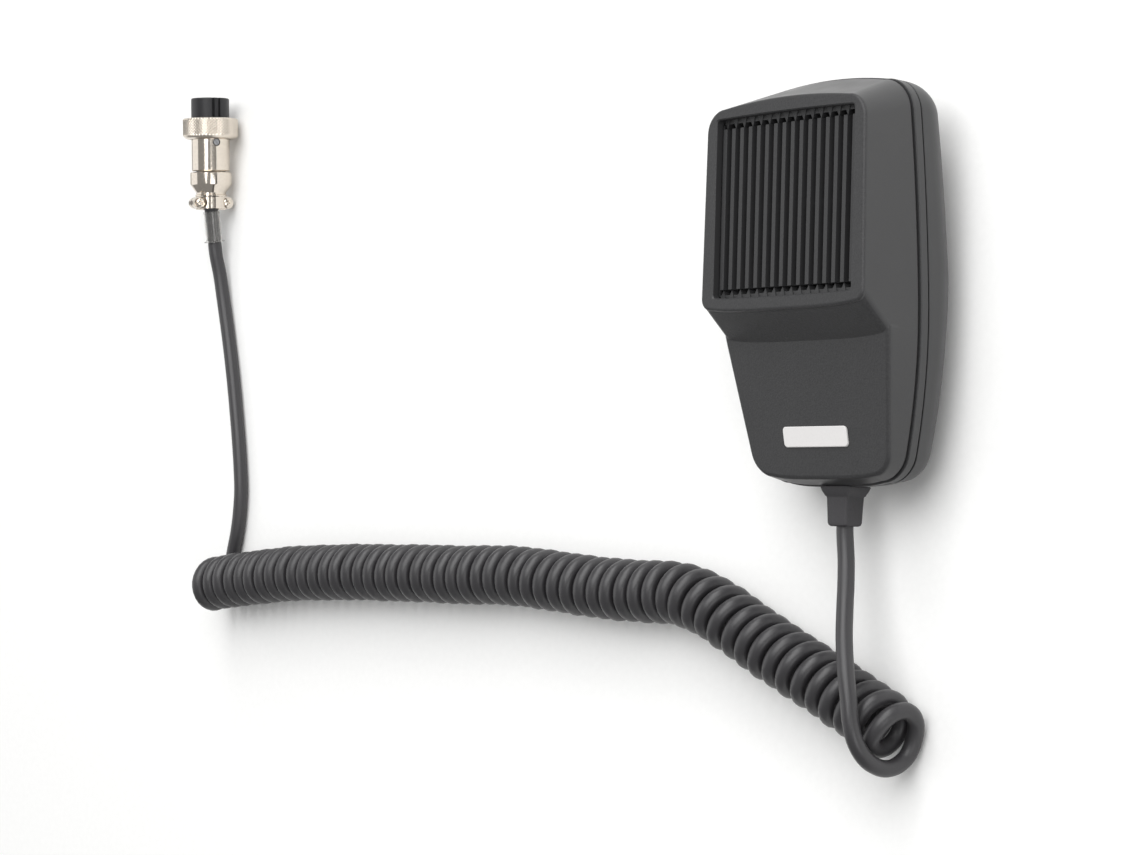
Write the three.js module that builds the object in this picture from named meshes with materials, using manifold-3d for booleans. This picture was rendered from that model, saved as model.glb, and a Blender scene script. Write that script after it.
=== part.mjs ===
// Hand microphone with a curly cord and a four-way screw-on plug.
// Units are millimetres, +Z is up and the microphone lies on its back on the floor (z = 0).
// Inside the microphone, u runs to its right, v towards its top end and w out of its front face.
// u = v = w = 0 is the middle of the grille window's top edge, on the flat upper front face.
import * as THREE from "three";
import { mergeVertices } from "three/addons/utils/BufferGeometryUtils.js";
import Module from "manifold-3d";

const wasm = await Module();
wasm.setup();

// ---------------------------------------------------------------- driving dimensions
const GAP = 0.3;                 // clearance kept between touching pieces
const ORIGIN = { u: 1.2, v: 41.26 };   // moves the middle of the microphone onto x = y = 0
const WALL = 2.2;                // moulded wall of both shells
const FRONT_HEIGHT = 38.11;         // upper front face above the floor

const FACE = {                   // flat upper front face, w = 0
  top: 2.8, bottom: -48.5, crown: 1.4, sag: 0.9,
  topHalf: 28.1, bottomHalf: 28.9, topCorner: 6, bottomCorner: 1.6, edge: 1,
};
const STEP = { bottom: -54.9, depth: 8.94, foot: -64.3 };     // slope below the window
const LOWER = { slope: 0.2, bottom: -90.2, topHalf: 27.9, taper: 0.144, corner: 5.5, sag: 0.8 };
const RIM = {                    // shell rim, along the plane where the two shells part
  top: 8.1, bottom: -91.2, crown: 1.5, sag: 1.0, topCorner: 8, bottomCorner: 6.5,
  level: -17.1, slope: 0.05, height: 2.2, proud: 0.4,
};
// Tilted flat of the rear shell. Below `from` its edges are rounded off more and more, by these
// shares of the way down: in from the sides, in from the lower end, and up from the flat.
const BACK = { level: -31.03, slope: 0.085, round: 9, from: -41, side: 0.3, end: 0.1, rise: 0.085 };

const WINDOW = { half: 24.4, height: 45.5 };
const SLATS = { count: 16, width: 1.5, recess: 1.7, depth: 2.8 };
const BADGE = { half: 11.2, top: -77.7, bottom: -82.9, thick: 0.6 };

const CARTRIDGE = { v: -22.75, radius: 12.5, front: -7.6, depth: 8 };
const BOOT = { radius: 15, front: -6.6, depth: 9 };

const PTT = {                    // talk bar in the left side
  pivotU: -21.4, pivotV: 0.6, opening: { top: -2.5, bottom: -43.5, near: -5.5, far: -15.5 },
  outer: -32.6, flange: -25.2, flangeThick: 1.4, pin: 1.0, knuckle: 2.2, knuckleNear: -10,
};
const SWITCH = {                 // switch inside, worked by the talk bar through a plunger
  u0: -21, u1: -12.5, v0: -45.4, v1: -31.6, near: -7, far: -15, plungerV: -38.5, screwU: -14.8,
};
const SWITCH_SCREWS = [SWITCH.v0 + 2.2, SWITCH.v1 - 2.2];

const CASE_SCREWS = [[20.5, -52.5], [-20.5, -52.5], [16.5, -80], [-16.5, -80]];
const SCREW = { head: 2.7, headThick: 1.8, shank: 1.3, hole: 1.6, sink: 3.1 };
const HANG_BUTTON = { v: -18, radius: 7, head: 2, neckRadius: 3.6, protrusion: 5.0 };

const CLAMP = { v: -82, screwUs: [-6.6, 6.6] };                 // holds the cord inside the case

const RELIEF = {                 // strain relief, square in section
  w: -25, halfU: 3.6, halfW: 3.3, collarV: -92.6, blockV: -94.8, endV: -102.5, collarGrow: 1.1,
};

const CORD = { radius: 2.2, sides: 8 };
const COIL = { radius: 8.65, sides: 12 };
const PLUG = {                   // lengths run from the tip of the insert towards the cord
  tip: [-297.5, 34.5], heading: 2.2, tilt: 4.4, roll: 74.5,
  insert: { radius: 6.2, length: 8.2, neck: 5.1, end: 17 },
  nut: { front: 6.6, rear: 13.4, radius: 9, thread: 7.8, lip: 2 },
  barrel: { front: 8.6, rear: 23.8, radius: 6.25, bore: 5.45, flange: 7.4 },
  rear: { front: 24.1, flangeEnd: 28.4, radius: 6.8, neck: 30.8, neckRadius: 4.9, end: 36.3 },
  clamp: { radius: 5.15, ear: 6.9, lug: 1.9, screwV: 4.5, bore: 2.6, start: 31.3 },
  contactCircle: 3.1, setScrew: 14.5,
};
const SLEEVE = { inner: 2.5, outer: 2.95, length: 10.6 };

// Cord routes in u, v and height above the floor. Each list runs from the microphone to the plug.
const MIC_LEAD_ROUTE = [
  [0, -102.8, 13], [0.2, -106, 13], [1, -111, 13.3], [2.2, -117, 14.4], [4, -124, 16.4],
  [6.2, -131, 18.6], [8.6, -139, 20.2], [10.2, -145.8, 20.6], [11, -151.5, 20.5], [11.8, -156.6, 19.2],
  [12.5, -160.6, 16], [13.2, -162.6, 11.5], [13.6, -162.3, 7.2], [14.3, -159.8, 3.6], [15.5, -155.6, 2.45],
  [17, -150.8, 3.6], [17.5, -148.2, 7.2], [16.9, -148.6, 11], [15.2, -151.2, 13.8],
];
const COIL_AXIS = [
  [10.4, -151.4], [-1.3, -146.4], [-18, -139.4], [-38.7, -130.6], [-52, -124.6], [-65, -121.2],
  [-78, -121], [-104, -120], [-132, -118], [-162, -118.1], [-209, -118.4], [-242, -119.5],
  [-268, -121.6], [-291.5, -124.2],
];
const PLUG_LEAD_ROUTE = [
  [-286.5, -112.6, 2.25], [-285.1, -107, 2.25], [-284, -100, 2.25], [-283.7, -93.3, 2.25],
  [-284.4, -86.8, 2.25], [-285.4, -80.3, 2.25], [-287.9, -67.3, 2.25], [-290.8, -54.2, 2.25],
  [-294, -41, 2.4], [-298, -28.5, 3.3], [-299.3, -20.5, 4.7], [-299.38, -14.6, 5.95],
];

// ---------------------------------------------------------------- looks
const FINISH = {
  shell: { color: 0x3b3b3d, roughness: 0.62, metalness: 0 },
  insert: { color: 0x333335, roughness: 0.5, metalness: 0 },
  cloth: { color: 0x111112, roughness: 0.95, metalness: 0 },
  badge: { color: 0xe9e8e6, roughness: 0.35, metalness: 0 },
  cord: { color: 0x3a3a3b, roughness: 0.55, metalness: 0 },
  rubber: { color: 0x262627, roughness: 0.8, metalness: 0 },
  nickel: { color: 0xcfc8bf, roughness: 0.22, metalness: 1 },
  steel: { color: 0x9a9a9c, roughness: 0.35, metalness: 1 },
  brass: { color: 0xc9a75a, roughness: 0.3, metalness: 1 },
  bakelite: { color: 0x3a3a3c, roughness: 0.4, metalness: 0 },
  clear: { color: 0xd8d8d6, roughness: 0.15, metalness: 0 },
  red: { color: 0xb02020, roughness: 0.5, metalness: 0 },
  white: { color: 0xe8e8e8, roughness: 0.5, metalness: 0 },
  yellow: { color: 0xd8b020, roughness: 0.5, metalness: 0 },
};

function piece(name, geometry, finish) {
  const mesh = new THREE.Mesh(geometry, new THREE.MeshStandardMaterial(FINISH[finish]));
  mesh.name = name;
  return mesh;
}

// ---------------------------------------------------------------- solids and booleans
function solid(geometry) {
  const bare = geometry.index ? geometry.clone() : geometry;
  bare.deleteAttribute("normal");
  bare.deleteAttribute("uv");
  const merged = mergeVertices(bare, 1e-4);
  return new wasm.Manifold(new wasm.Mesh({
    numProp: 3,
    vertProperties: new Float32Array(merged.attributes.position.array),
    triVerts: new Uint32Array(merged.index.array),
  }));
}

function toGeometry(manifold) {
  const mesh = manifold.getMesh();
  const geometry = new THREE.BufferGeometry();
  geometry.setAttribute("position", new THREE.BufferAttribute(new Float32Array(mesh.vertProperties), 3));
  geometry.setIndex(new THREE.BufferAttribute(new Uint32Array(mesh.triVerts), 1));
  geometry.computeVertexNormals();
  return geometry;
}

const joined = (first, ...rest) => rest.reduce((sum, part) => sum.add(part), first);
const less = (first, ...rest) => rest.reduce((sum, part) => sum.subtract(part), first);

// A box between two corners given in u, v and w.
function block(u0, u1, v0, v1, w0, w1) {
  const box = new THREE.BoxGeometry(u1 - u0, v1 - v0, w1 - w0);
  box.translate((u0 + u1) / 2, (v0 + v1) / 2, (w0 + w1) / 2);
  return solid(box);
}

// A round bar along w.
function post(u, v, w0, w1, radius, sides = 12) {
  const bar = new THREE.CylinderGeometry(radius, radius, w1 - w0, sides);
  bar.rotateX(Math.PI / 2);
  bar.translate(u, v, (w0 + w1) / 2);
  return solid(bar);
}

// A solid of revolution about +Z from a profile of [radius, z] points, given in either direction.
function turned(profile, sides = 20) {
  const area = profile.reduce((sum, [r, z], i) => {
    const [nextR, nextZ] = profile[(i + 1) % profile.length];
    return sum + r * nextZ - nextR * z;
  }, 0);
  const upward = area > 0 ? profile : [...profile].reverse();
  const lathe = new THREE.LatheGeometry(upward.map(([r, z]) => new THREE.Vector2(r, z)), sides);
  lathe.rotateX(Math.PI / 2);
  return solid(lathe);
}

// A closed skin through rings that hold the same number of points, first ring on top.
function loft(rings) {
  const count = rings[0].length;
  const index = [];
  for (let r = 0; r + 1 < rings.length; r += 1) {
    for (let i = 0; i < count; i += 1) {
      const a = r * count + i;
      const b = r * count + ((i + 1) % count);
      index.push(a, a + count, b, b, a + count, b + count);
    }
  }
  const flat = (ring) => ring.map(([x, y]) => new THREE.Vector2(x, y));
  const last = (rings.length - 1) * count;
  for (const [a, b, c] of THREE.ShapeUtils.triangulateShape(flat(rings[0]), [])) index.push(a, b, c);
  for (const [a, b, c] of THREE.ShapeUtils.triangulateShape(flat(rings.at(-1)), [])) {
    index.push(last + a, last + c, last + b);
  }
  const geometry = new THREE.BufferGeometry();
  geometry.setAttribute("position", new THREE.Float32BufferAttribute(rings.flat(2), 3));
  geometry.setIndex(index);
  const made = solid(geometry);
  if (made.volume() <= 0) throw new Error("loft is inside out");
  return made;
}

// ---------------------------------------------------------------- outlines of the case
// Points run anticlockwise seen from the front, starting at the middle of the top edge.
function outline({ top, bottom, crown, sag, topCorner, bottomCorner, halfAt }, inset = 0) {
  const rTop = Math.max(0.8, topCorner - inset);
  const rBottom = Math.max(0.8, bottomCorner - inset);
  const half = (v) => halfAt(v) - inset;
  const vTop = top - inset;
  const vBottom = bottom + inset;
  const left = [];
  const topHalf = half(vTop) - rTop;
  const bottomHalf = half(vBottom) - rBottom;
  for (let i = 0; i < 3; i += 1) left.push([-topHalf * i / 3, vTop + crown * (1 - (i / 3) ** 2)]);
  for (let i = 0; i <= 4; i += 1) {
    const a = Math.PI / 2 * (1 - i / 4);
    const v = vTop - rTop * (1 - Math.sin(a));
    left.push([-(half(v) - rTop * (1 - Math.cos(a))), v]);
  }
  const sideTop = vTop - rTop;
  const sideBottom = vBottom + rBottom;
  for (let i = 1; i < 6; i += 1) {
    const v = sideTop + (sideBottom - sideTop) * i / 6;
    left.push([-half(v), v]);
  }
  for (let i = 0; i <= 4; i += 1) {
    const a = Math.PI / 2 * i / 4;
    const v = vBottom + rBottom * (1 - Math.sin(a));
    left.push([-(half(v) - rBottom * (1 - Math.cos(a))), v]);
  }
  for (let i = 2; i > 0; i -= 1) left.push([-bottomHalf * i / 3, vBottom - sag * (1 - (i / 3) ** 2)]);
  const right = left.slice(1).reverse().map(([u, v]) => [-u, v]);
  return [...left, [0, vBottom - sag], ...right];
}

const onPlane = (points, level, slope = 0) => points.map(([u, v]) => [u, v, level + slope * v]);

// Half-width of the case where the shells part: widest near the middle, narrower at both ends.
function rimHalf(v) {
  const widest = -46;
  const fall = v > widest ? 0.0008 : 0.0031;
  return 29.8 - fall * (v - widest) ** 2;
}

const faceHalf = (v) => THREE.MathUtils.mapLinear(v, FACE.top, FACE.bottom, FACE.topHalf, FACE.bottomHalf);
const lowerHalf = (v) => Math.min(LOWER.topHalf, LOWER.topHalf + LOWER.taper * (v - STEP.bottom));
const lowerLevel = -STEP.depth - LOWER.slope * STEP.bottom;      // level of the lower face at v = 0

// Outer form of the front shell, or its cavity when inset by the wall.
function frontForm(inset) {
  const hollow = inset > 0;
  const edge = hollow ? 0.2 : FACE.edge;
  const stepShift = hollow ? -1.2 : 0;      // keeps the sloping wall below the window as thin as the rest
  const face = { ...FACE, bottom: FACE.bottom + stepShift, halfAt: faceHalf };
  const foot = {                 // where the raised part would meet the parting plane
    top: RIM.top, bottom: STEP.foot + stepShift, crown: RIM.crown, sag: 0.6, topCorner: RIM.topCorner,
    bottomCorner: FACE.bottomCorner, halfAt: (v) => rimHalf(v) - (v < -50 ? 0.12 * (-50 - v) : 0),
  };
  const lower = {
    top: -44, bottom: LOWER.bottom, crown: 0, sag: LOWER.sag, topCorner: 2,
    bottomCorner: LOWER.corner, halfAt: lowerHalf,
  };
  const lowerFoot = {
    ...lower, bottom: RIM.bottom, sag: RIM.sag, bottomCorner: RIM.bottomCorner, halfAt: rimHalf,
  };
  const foot0 = hollow ? RIM.level - RIM.height - 1 : RIM.level;
  const raised = loft([
    onPlane(outline(face, inset + edge), -inset),
    onPlane(outline(face, inset), -inset - edge),
    onPlane(outline(foot, inset), foot0, RIM.slope),
  ]);
  const low = loft([
    onPlane(outline(lower, inset + edge), lowerLevel - inset, LOWER.slope),
    onPlane(outline(lower, inset), lowerLevel - inset - edge, LOWER.slope),
    onPlane(outline(lowerFoot, inset), foot0, RIM.slope),
  ]);
  return joined(raised, low);
}

const rimOutline = { ...RIM, halfAt: rimHalf };

function rimBand() {
  const proud = outline(rimOutline, -RIM.proud);
  return loft([
    onPlane(proud, RIM.level + 0.1, RIM.slope),
    onPlane(proud, RIM.level - RIM.height, RIM.slope),
  ]);
}

const below = (v) => Math.max(0, BACK.from - v);

// Outer form of the rear shell, or its cavity when inset by the wall.
function rearForm(inset) {
  const round = BACK.round;
  const top = RIM.level - RIM.height - GAP + (inset ? 1 : 0);
  const rings = [onPlane(outline(rimOutline, inset), top, RIM.slope)];
  const steps = 4;
  for (let i = 0; i <= steps; i += 1) {
    const a = Math.PI / 2 * i / steps;
    const radius = round - inset;
    const way = 1 - Math.cos(a);
    const rise = 1 - Math.sin(a);
    const shape = {
      ...rimOutline,
      bottom: RIM.bottom + BACK.end * below(RIM.bottom) * way,
      halfAt: (v) => rimHalf(v) - BACK.side * below(v) * way,
    };
    const ring = outline(shape, inset + radius * way);
    const level = BACK.level + inset + radius * rise;
    rings.push(ring.map(([u, v]) => [u, v, level + BACK.slope * v + BACK.rise * below(v) * rise]));
  }
  return loft(rings);
}

// ---------------------------------------------------------------- front shell
const reliefHole = block(-RELIEF.halfU - GAP, RELIEF.halfU + GAP, -97, -86,
  RELIEF.w - RELIEF.halfW - GAP, RELIEF.w + RELIEF.halfW + GAP);

// Where a case screw's boss ends, just inside the wall of the lower front face.
const bossTop = (v) => lowerLevel + LOWER.slope * Math.min(v, STEP.bottom) - 1;

function frontShell() {
  const { opening } = PTT;
  let shell = less(joined(frontForm(0), rimBand()), frontForm(WALL));
  const posts = CASE_SCREWS.map(([u, v]) =>
    post(u, v, RIM.level - RIM.height + RIM.slope * v, bossTop(v), 3));
  const pinBoss = post(PTT.pivotU, PTT.pivotV, PTT.knuckleNear + GAP, -1.5, PTT.knuckle);
  shell = joined(shell, ...posts, pinBoss);
  const pilots = CASE_SCREWS.map(([u, v]) => post(u, v, -30, bossTop(v) - 1.6, SCREW.hole));
  return less(shell, ...pilots,
    post(PTT.pivotU, PTT.pivotV, -12, -6.2, PTT.pin + GAP),
    block(-WINDOW.half, WINDOW.half, -WINDOW.height, 0, -4, 1),
    block(-35, -22, opening.bottom, opening.top, opening.far, opening.near),
    reliefHole);
}

// ---------------------------------------------------------------- rear shell
const backAt = (v) => BACK.level + BACK.slope * v;

// Where a case screw's head is seated: deeper near the rounded lower end.
const seatAt = (v) => backAt(v) + SCREW.sink + (v < -70 ? 2.2 : 0);

function rearShell() {
  let shell = less(rearForm(0), rearForm(WALL));
  const rimTopAt = (v) => RIM.level - RIM.height - GAP + RIM.slope * v;
  const bosses = CASE_SCREWS.map(([u, v]) => post(u, v, seatAt(v) - 1.2, rimTopAt(v), 4));
  const switchPosts = SWITCH_SCREWS.map((v) =>
    post(SWITCH.screwU, v, backAt(v) + 0.5, SWITCH.far - GAP, 2.8));
  const pinPost = post(PTT.pivotU, PTT.pivotV, -28, -16.8, PTT.knuckle);
  const clampPosts = CLAMP.screwUs.map((u) => post(u, CLAMP.v, backAt(CLAMP.v) + 2.8, RELIEF.w, 2.4));
  shell = joined(shell, ...bosses, ...switchPosts, pinPost, ...clampPosts);
  const cuts = CASE_SCREWS.flatMap(([u, v]) => [
    post(u, v, -45, 0, SCREW.hole),
    post(u, v, -45, seatAt(v), SCREW.head + 0.4),
  ]);
  const switchPilots = SWITCH_SCREWS.map((v) => post(SWITCH.screwU, v, -22, 0, 1.3));
  const clampPilots = CLAMP.screwUs.map((u) => post(u, CLAMP.v, -31, 0, 1.2));
  return less(shell, ...cuts, ...switchPilots, ...clampPilots,
    post(PTT.pivotU, PTT.pivotV, -20, 0, PTT.pin + GAP),
    post(0, HANG_BUTTON.v, -45, 0, 1.9),
    reliefHole);
}

// ---------------------------------------------------------------- grille
function grilleInsert() {
  const near = -WALL - GAP;
  const far = near - 1.9;
  const edge = outline({
    top: 0.1, bottom: -45, crown: 0.6, sag: 0.8, topCorner: 3.8, bottomCorner: 1.6,
    halfAt: () => WINDOW.half + 1,
  });
  const frame = less(
    loft([onPlane(edge, near), onPlane(edge, far)]),
    block(-WINDOW.half + 1, WINDOW.half - 1, -WINDOW.height + 2.3, -2.3, far - 1, near + 1));
  const pitch = 2 * WINDOW.half / SLATS.count;
  const back = -SLATS.recess - SLATS.depth;
  const slats = [];
  for (let i = 0; i < SLATS.count; i += 1) {
    const u = -WINDOW.half + (i + 0.5) * pitch;
    slats.push(block(u - SLATS.width / 2, u + SLATS.width / 2, -WINDOW.height + 1.6, -1.6,
      back, -SLATS.recess));
  }
  const bossNotch = joined(
    post(PTT.pivotU, PTT.pivotV, -10, -3.7, PTT.knuckle + GAP),
    block(PTT.pivotU - 3, PTT.pivotU + 3, -GAP, 4, -10, 0));
  const middle = -WINDOW.height / 2;
  const tie = block(-WINDOW.half, WINDOW.half, middle - 0.8, middle + 0.8, back, far + 0.8);
  return less(joined(frame, ...slats, tie), bossNotch);
}

const grilleCloth = () =>
  block(-WINDOW.half - 0.4, WINDOW.half + 0.4, -WINDOW.height + 1, -2.4, -5.4, -4.8);

function badgePlate() {
  const face = outline({
    top: BADGE.top, bottom: BADGE.bottom, crown: 0, sag: 0, topCorner: 1, bottomCorner: 1,
    halfAt: () => BADGE.half,
  });
  const level = lowerLevel + GAP;
  return loft([onPlane(face, level + BADGE.thick, LOWER.slope), onPlane(face, level, LOWER.slope)]);
}

// ---------------------------------------------------------------- cartridge
function micCartridge() {
  const { radius, front, depth } = CARTRIDGE;
  const can = turned([
    [0, front], [radius - 1, front], [radius, front - 1], [radius, front - depth], [0, front - depth],
  ]);
  return can.translate([0, CARTRIDGE.v, 0]);
}

function cartridgeBoot() {
  const inner = CARTRIDGE.radius + GAP;
  const { radius, front, depth } = BOOT;
  const lip = CARTRIDGE.front + GAP;
  const ring = turned([
    [inner - 2, front], [radius, front], [radius, front - depth], [inner, front - depth],
    [inner, lip], [inner - 2, lip], [inner - 2, front],
  ]);
  return ring.translate([0, CARTRIDGE.v, 0]);
}

// ---------------------------------------------------------------- talk bar and its switch
function pttBar() {
  const { opening, outer, flange, flangeThick, pivotU, pivotV, pin, knuckle, knuckleNear } = PTT;
  const clear = 0.4;
  const key = {
    top: opening.top - clear, bottom: opening.bottom + clear, crown: 0, sag: 0,
    topCorner: 0.8, bottomCorner: 0.8, halfAt: () => (opening.near - opening.far) / 2 - clear,
  };
  const middle = (opening.near + opening.far) / 2;
  const stand = (points, u) => points.map(([a, v]) => [u, v, middle + a]);
  const cap = loftAlongU([
    stand(outline(key, 1.4), outer), stand(outline(key, 0.4), outer + 1),
    stand(outline(key), outer + 2.2), stand(outline(key), flange + 0.1),
  ]);
  const plate = block(flange, flange + flangeThick, -46, -1, -16.4, -5.8);
  const arm = block(flange + 0.2, pivotU, -3.2, pivotV, -16.4, knuckleNear);
  const knuckleBar = post(pivotU, pivotV, -16.4, knuckleNear, knuckle);
  const bore = post(pivotU, pivotV, -20, 0, pin + GAP);
  return less(joined(cap, plate, arm, knuckleBar), bore);
}

// The same skin as loft, for rings that stand in planes of constant u, outermost (lowest u) first.
function loftAlongU(rings) {
  return loft(rings.map((ring) => ring.map(([u, v, w]) => [w, v, -u]))).rotate([0, -90, 0]);
}

const pttPin = () => post(PTT.pivotU, PTT.pivotV, -19.4, -6.5, PTT.pin, 10);

function switchBody() {
  const { u0, u1, v0, v1, near, far, plungerV } = SWITCH;
  const bore = new THREE.CylinderGeometry(1.7, 1.7, 9, 12);
  bore.rotateZ(Math.PI / 2);
  bore.translate(u0 + 2, plungerV, (near + far) / 2);
  return less(block(u0, u1, v0, v1, far, near), solid(bore),
    ...SWITCH_SCREWS.map((v) => post(SWITCH.screwU, v, -20, 0, 1.3)));
}

function switchPlunger() {
  const start = PTT.flange + PTT.flangeThick + GAP;
  const profile = [[0, 0], [0.9, 0], [1.35, 0.5], [1.35, 6.4], [0, 6.4]];
  const rod = turned(profile, 12).rotate([0, 90, 0]);
  const { plungerV, near, far } = SWITCH;
  return rod.translate([start, plungerV, (near + far) / 2]);
}

// A screw whose head is at its lower or upper end; length counts the whole screw.
function screw(headRadius, headThick, shankRadius, length) {
  return turned([
    [0, 0], [headRadius, 0], [headRadius, headThick], [shankRadius, headThick], [shankRadius, length],
    [0, length],
  ], 10);
}

const downward = (manifold) => manifold.rotate([180, 0, 0]);

// ---------------------------------------------------------------- hang-up button
function hangButton() {
  const { radius, head, neckRadius, protrusion } = HANG_BUTTON;
  const end = protrusion;
  return turned([
    [1.7, GAP], [neckRadius, GAP], [neckRadius, end - head], [radius - 0.6, end - head],
    [radius, end - head + 0.6], [radius, end - 0.6], [radius - 0.6, end], [3.2, end], [3.2, end - 1.9],
    [1.7, end - 1.9], [1.7, GAP],
  ], 22);
}

// ---------------------------------------------------------------- strain relief and inner cord clamp
function strainRelief() {
  const { w, halfU, halfW, collarV, blockV, endV, collarGrow } = RELIEF;
  const section = (grow, round) => outline({
    top: halfW + grow, bottom: -halfW - grow, crown: 0, sag: 0, topCorner: round, bottomCorner: round,
    halfAt: () => halfU + grow,
  });
  const at = (points, v) => points.map(([a, b]) => [a, b, v]);
  const outside = loft([
    at(section(collarGrow, 1.6), collarV), at(section(0.2, 1.2), blockV), at(section(0, 1), blockV - 0.6),
    at(section(-0.2, 1), endV + 0.8), at(section(-0.8, 0.8), endV),
  ]);
  const neck = loft([at(section(0, 0.8), -87.4), at(section(0, 0.8), collarV - 0.5)]);
  const flange = loft([at(section(1.2, 0.8), -85.6), at(section(1.2, 0.8), -87.5)]);
  const body = joined(outside, neck, flange);
  const bore = turned([[0, -80], [CORD.radius + GAP, -80], [CORD.radius + GAP, -89.5], [0, -89.5]], 12);
  return less(body, bore).rotate([-90, 0, 0]).translate([0, 0, w]);
}

function cordTail() {
  const bar = new THREE.CylinderGeometry(CORD.radius, CORD.radius, 12, 10);
  bar.translate(0, -83, RELIEF.w);
  return solid(bar);
}

function cordClamp() {
  const top = RELIEF.w + GAP;
  const arch = joined(block(-9, 9, CLAMP.v - 2.4, CLAMP.v + 2.4, top, top + 1.2),
    block(-3.6, 3.6, CLAMP.v - 2.4, CLAMP.v + 2.4, top, top + 3.6));
  const bore = new THREE.CylinderGeometry(CORD.radius + 0.25, CORD.radius + 0.25, 10, 12);
  bore.translate(0, CLAMP.v, RELIEF.w);
  return less(arch, solid(bore), ...CLAMP.screwUs.map((u) => post(u, CLAMP.v, -40, 0, 1.3)));
}

// ---------------------------------------------------------------- tubes along a route
function tube(points, radius, sides, steps) {
  const path = new THREE.CatmullRomCurve3(points.map((p) => new THREE.Vector3(...p)), false, "centripetal");
  const section = new THREE.Shape();
  for (let i = 0; i < sides; i += 1) {
    const a = 2 * Math.PI * (i + 0.5) / sides;
    const x = radius * Math.cos(a);
    const y = radius * Math.sin(a);
    if (i === 0) section.moveTo(x, y);
    else section.lineTo(x, y);
  }
  section.closePath();
  return new THREE.ExtrudeGeometry(section, {
    steps, curveSegments: 1, bevelEnabled: false, extrudePath: path,
  });
}

// ---------------------------------------------------------------- plug pieces, along +Z from the tip
function plugInsert() {
  const { radius, length, neck, end } = PLUG.insert;
  const body = turned([
    [0, 0], [radius - 0.5, 0], [radius, 0.5], [radius, length], [neck, length], [neck, end], [0, end],
  ], 24);
  const bores = contactPlaces().map(([x, y]) => post(x, y, -1, end + 1, 1.35, 10));
  const keyway = block(radius - 1.2, radius + 1, -1.1, 1.1, -1, length - 1.4);
  return less(body, ...bores, keyway);
}

function contactPlaces() {
  return [45, 135, 225, 315].map((deg) => {
    const a = THREE.MathUtils.degToRad(deg);
    return [PLUG.contactCircle * Math.cos(a), PLUG.contactCircle * Math.sin(a)];
  });
}

function plugContact([x, y]) {
  const socket = turned([
    [0.6, 0.6], [1.05, 0.6], [1.05, 20], [0.6, 20], [0.6, 16], [0, 16], [0, 8], [0.6, 8], [0.6, 0.6],
  ], 8);
  return socket.translate([x, y, 0]);
}

function plugNut() {
  const { front, rear, radius, thread, lip } = PLUG.nut;
  const inner = PLUG.barrel.radius + GAP;
  return turned([
    [thread, front], [radius - 0.4, front], [radius, front + 0.5], [radius, rear - 1.4],
    [radius - 0.5, rear - 0.4], [radius - 1.6, rear], [inner, rear], [inner, rear - lip],
    [thread, rear - lip], [thread, front],
  ], 24);
}

function plugBarrel() {
  const { front, rear, radius, bore, flange } = PLUG.barrel;
  const lipFront = PLUG.nut.rear - PLUG.nut.lip - GAP;
  const body = turned([
    [bore, front], [radius, front], [radius, lipFront - 1.4], [flange, lipFront - 1.4], [flange, lipFront],
    [radius, lipFront], [radius, rear], [bore - 0.6, rear], [bore - 0.6, 17.4], [bore, 17.4], [bore, front],
  ], 24);
  const hole = new THREE.CylinderGeometry(1.3, 1.3, 6, 10);
  hole.rotateZ(Math.PI / 2);
  hole.translate(7.5, 0, PLUG.setScrew);
  return less(body, solid(hole));
}

function plugSetScrew() {
  const made = turned([[0, 0], [1, 0], [1, 0.9], [0, 0.9]], 12).rotate([0, -90, 0]);
  return made.translate([PLUG.barrel.radius - 0.1, 0, PLUG.setScrew]);
}

function plugRearShell() {
  const { front, flangeEnd, radius, neck, neckRadius, end } = PLUG.rear;
  const { radius: clampRadius, ear, lug: lugRadius, screwV, bore, start } = PLUG.clamp;
  const collar = turned([
    [5.2, front], [radius - 0.3, front], [radius, front + 0.4], [radius, flangeEnd], [neckRadius, neck],
    [neckRadius, start], [clampRadius, start + 0.2], [clampRadius, end], [bore, end], [bore, neck],
    [5.2, flangeEnd], [5.2, front],
  ], 20);
  const halfCut = block(0, 10, -10, 10, start + 0.6, end + 1);
  const lug = joined(block(-2.4, -GAP / 2, lugRadius - ear, ear - lugRadius, start + 0.9, end - 0.3),
    lugEnd(-2.4, -GAP / 2, 1), lugEnd(-2.4, -GAP / 2, -1));
  const bolts = [screwV, -screwV].map((y) => alongX(1.15, -8, 8, y));
  const cordBore = post(0, 0, neck - 1, end + 2, bore, 16);
  return less(joined(less(collar, halfCut), lug), cordBore, ...bolts);
}

function lugEnd(x0, x1, side) {
  const { ear, lug } = PLUG.clamp;
  return alongX(lug, x0, x1, side * (ear - lug));
}

const clampMiddle = (PLUG.clamp.start + 0.6 + PLUG.rear.end) / 2;

// A round bar across the plug, parallel to the clamp screws.
function alongX(radius, x0, x1, y) {
  const bar = new THREE.CylinderGeometry(radius, radius, x1 - x0, 12);
  bar.rotateZ(Math.PI / 2);
  bar.translate((x0 + x1) / 2, y, clampMiddle);
  return solid(bar);
}

function plugSaddle() {
  const { end } = PLUG.rear;
  const { radius, ear, lug, screwV, bore, start } = PLUG.clamp;
  const z0 = start + 0.9;
  const arch = less(post(0, 0, z0, end - 0.3, radius, 20), block(-10, GAP, -10, 10, 0, end + 2));
  const strap = joined(arch, block(GAP, 2.2, lug - ear, ear - lug, z0, end - 0.3),
    lugEnd(GAP, 2.2, 1), lugEnd(GAP, 2.2, -1));
  const bolts = [screwV, -screwV].map((y) => alongX(1.15, -8, 8, y));
  const seats = [screwV, -screwV].map((y) => alongX(1.8, 2.2, 8, y));
  return less(strap, post(0, 0, start, end + 2, bore, 16), ...bolts, ...seats);
}

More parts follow.
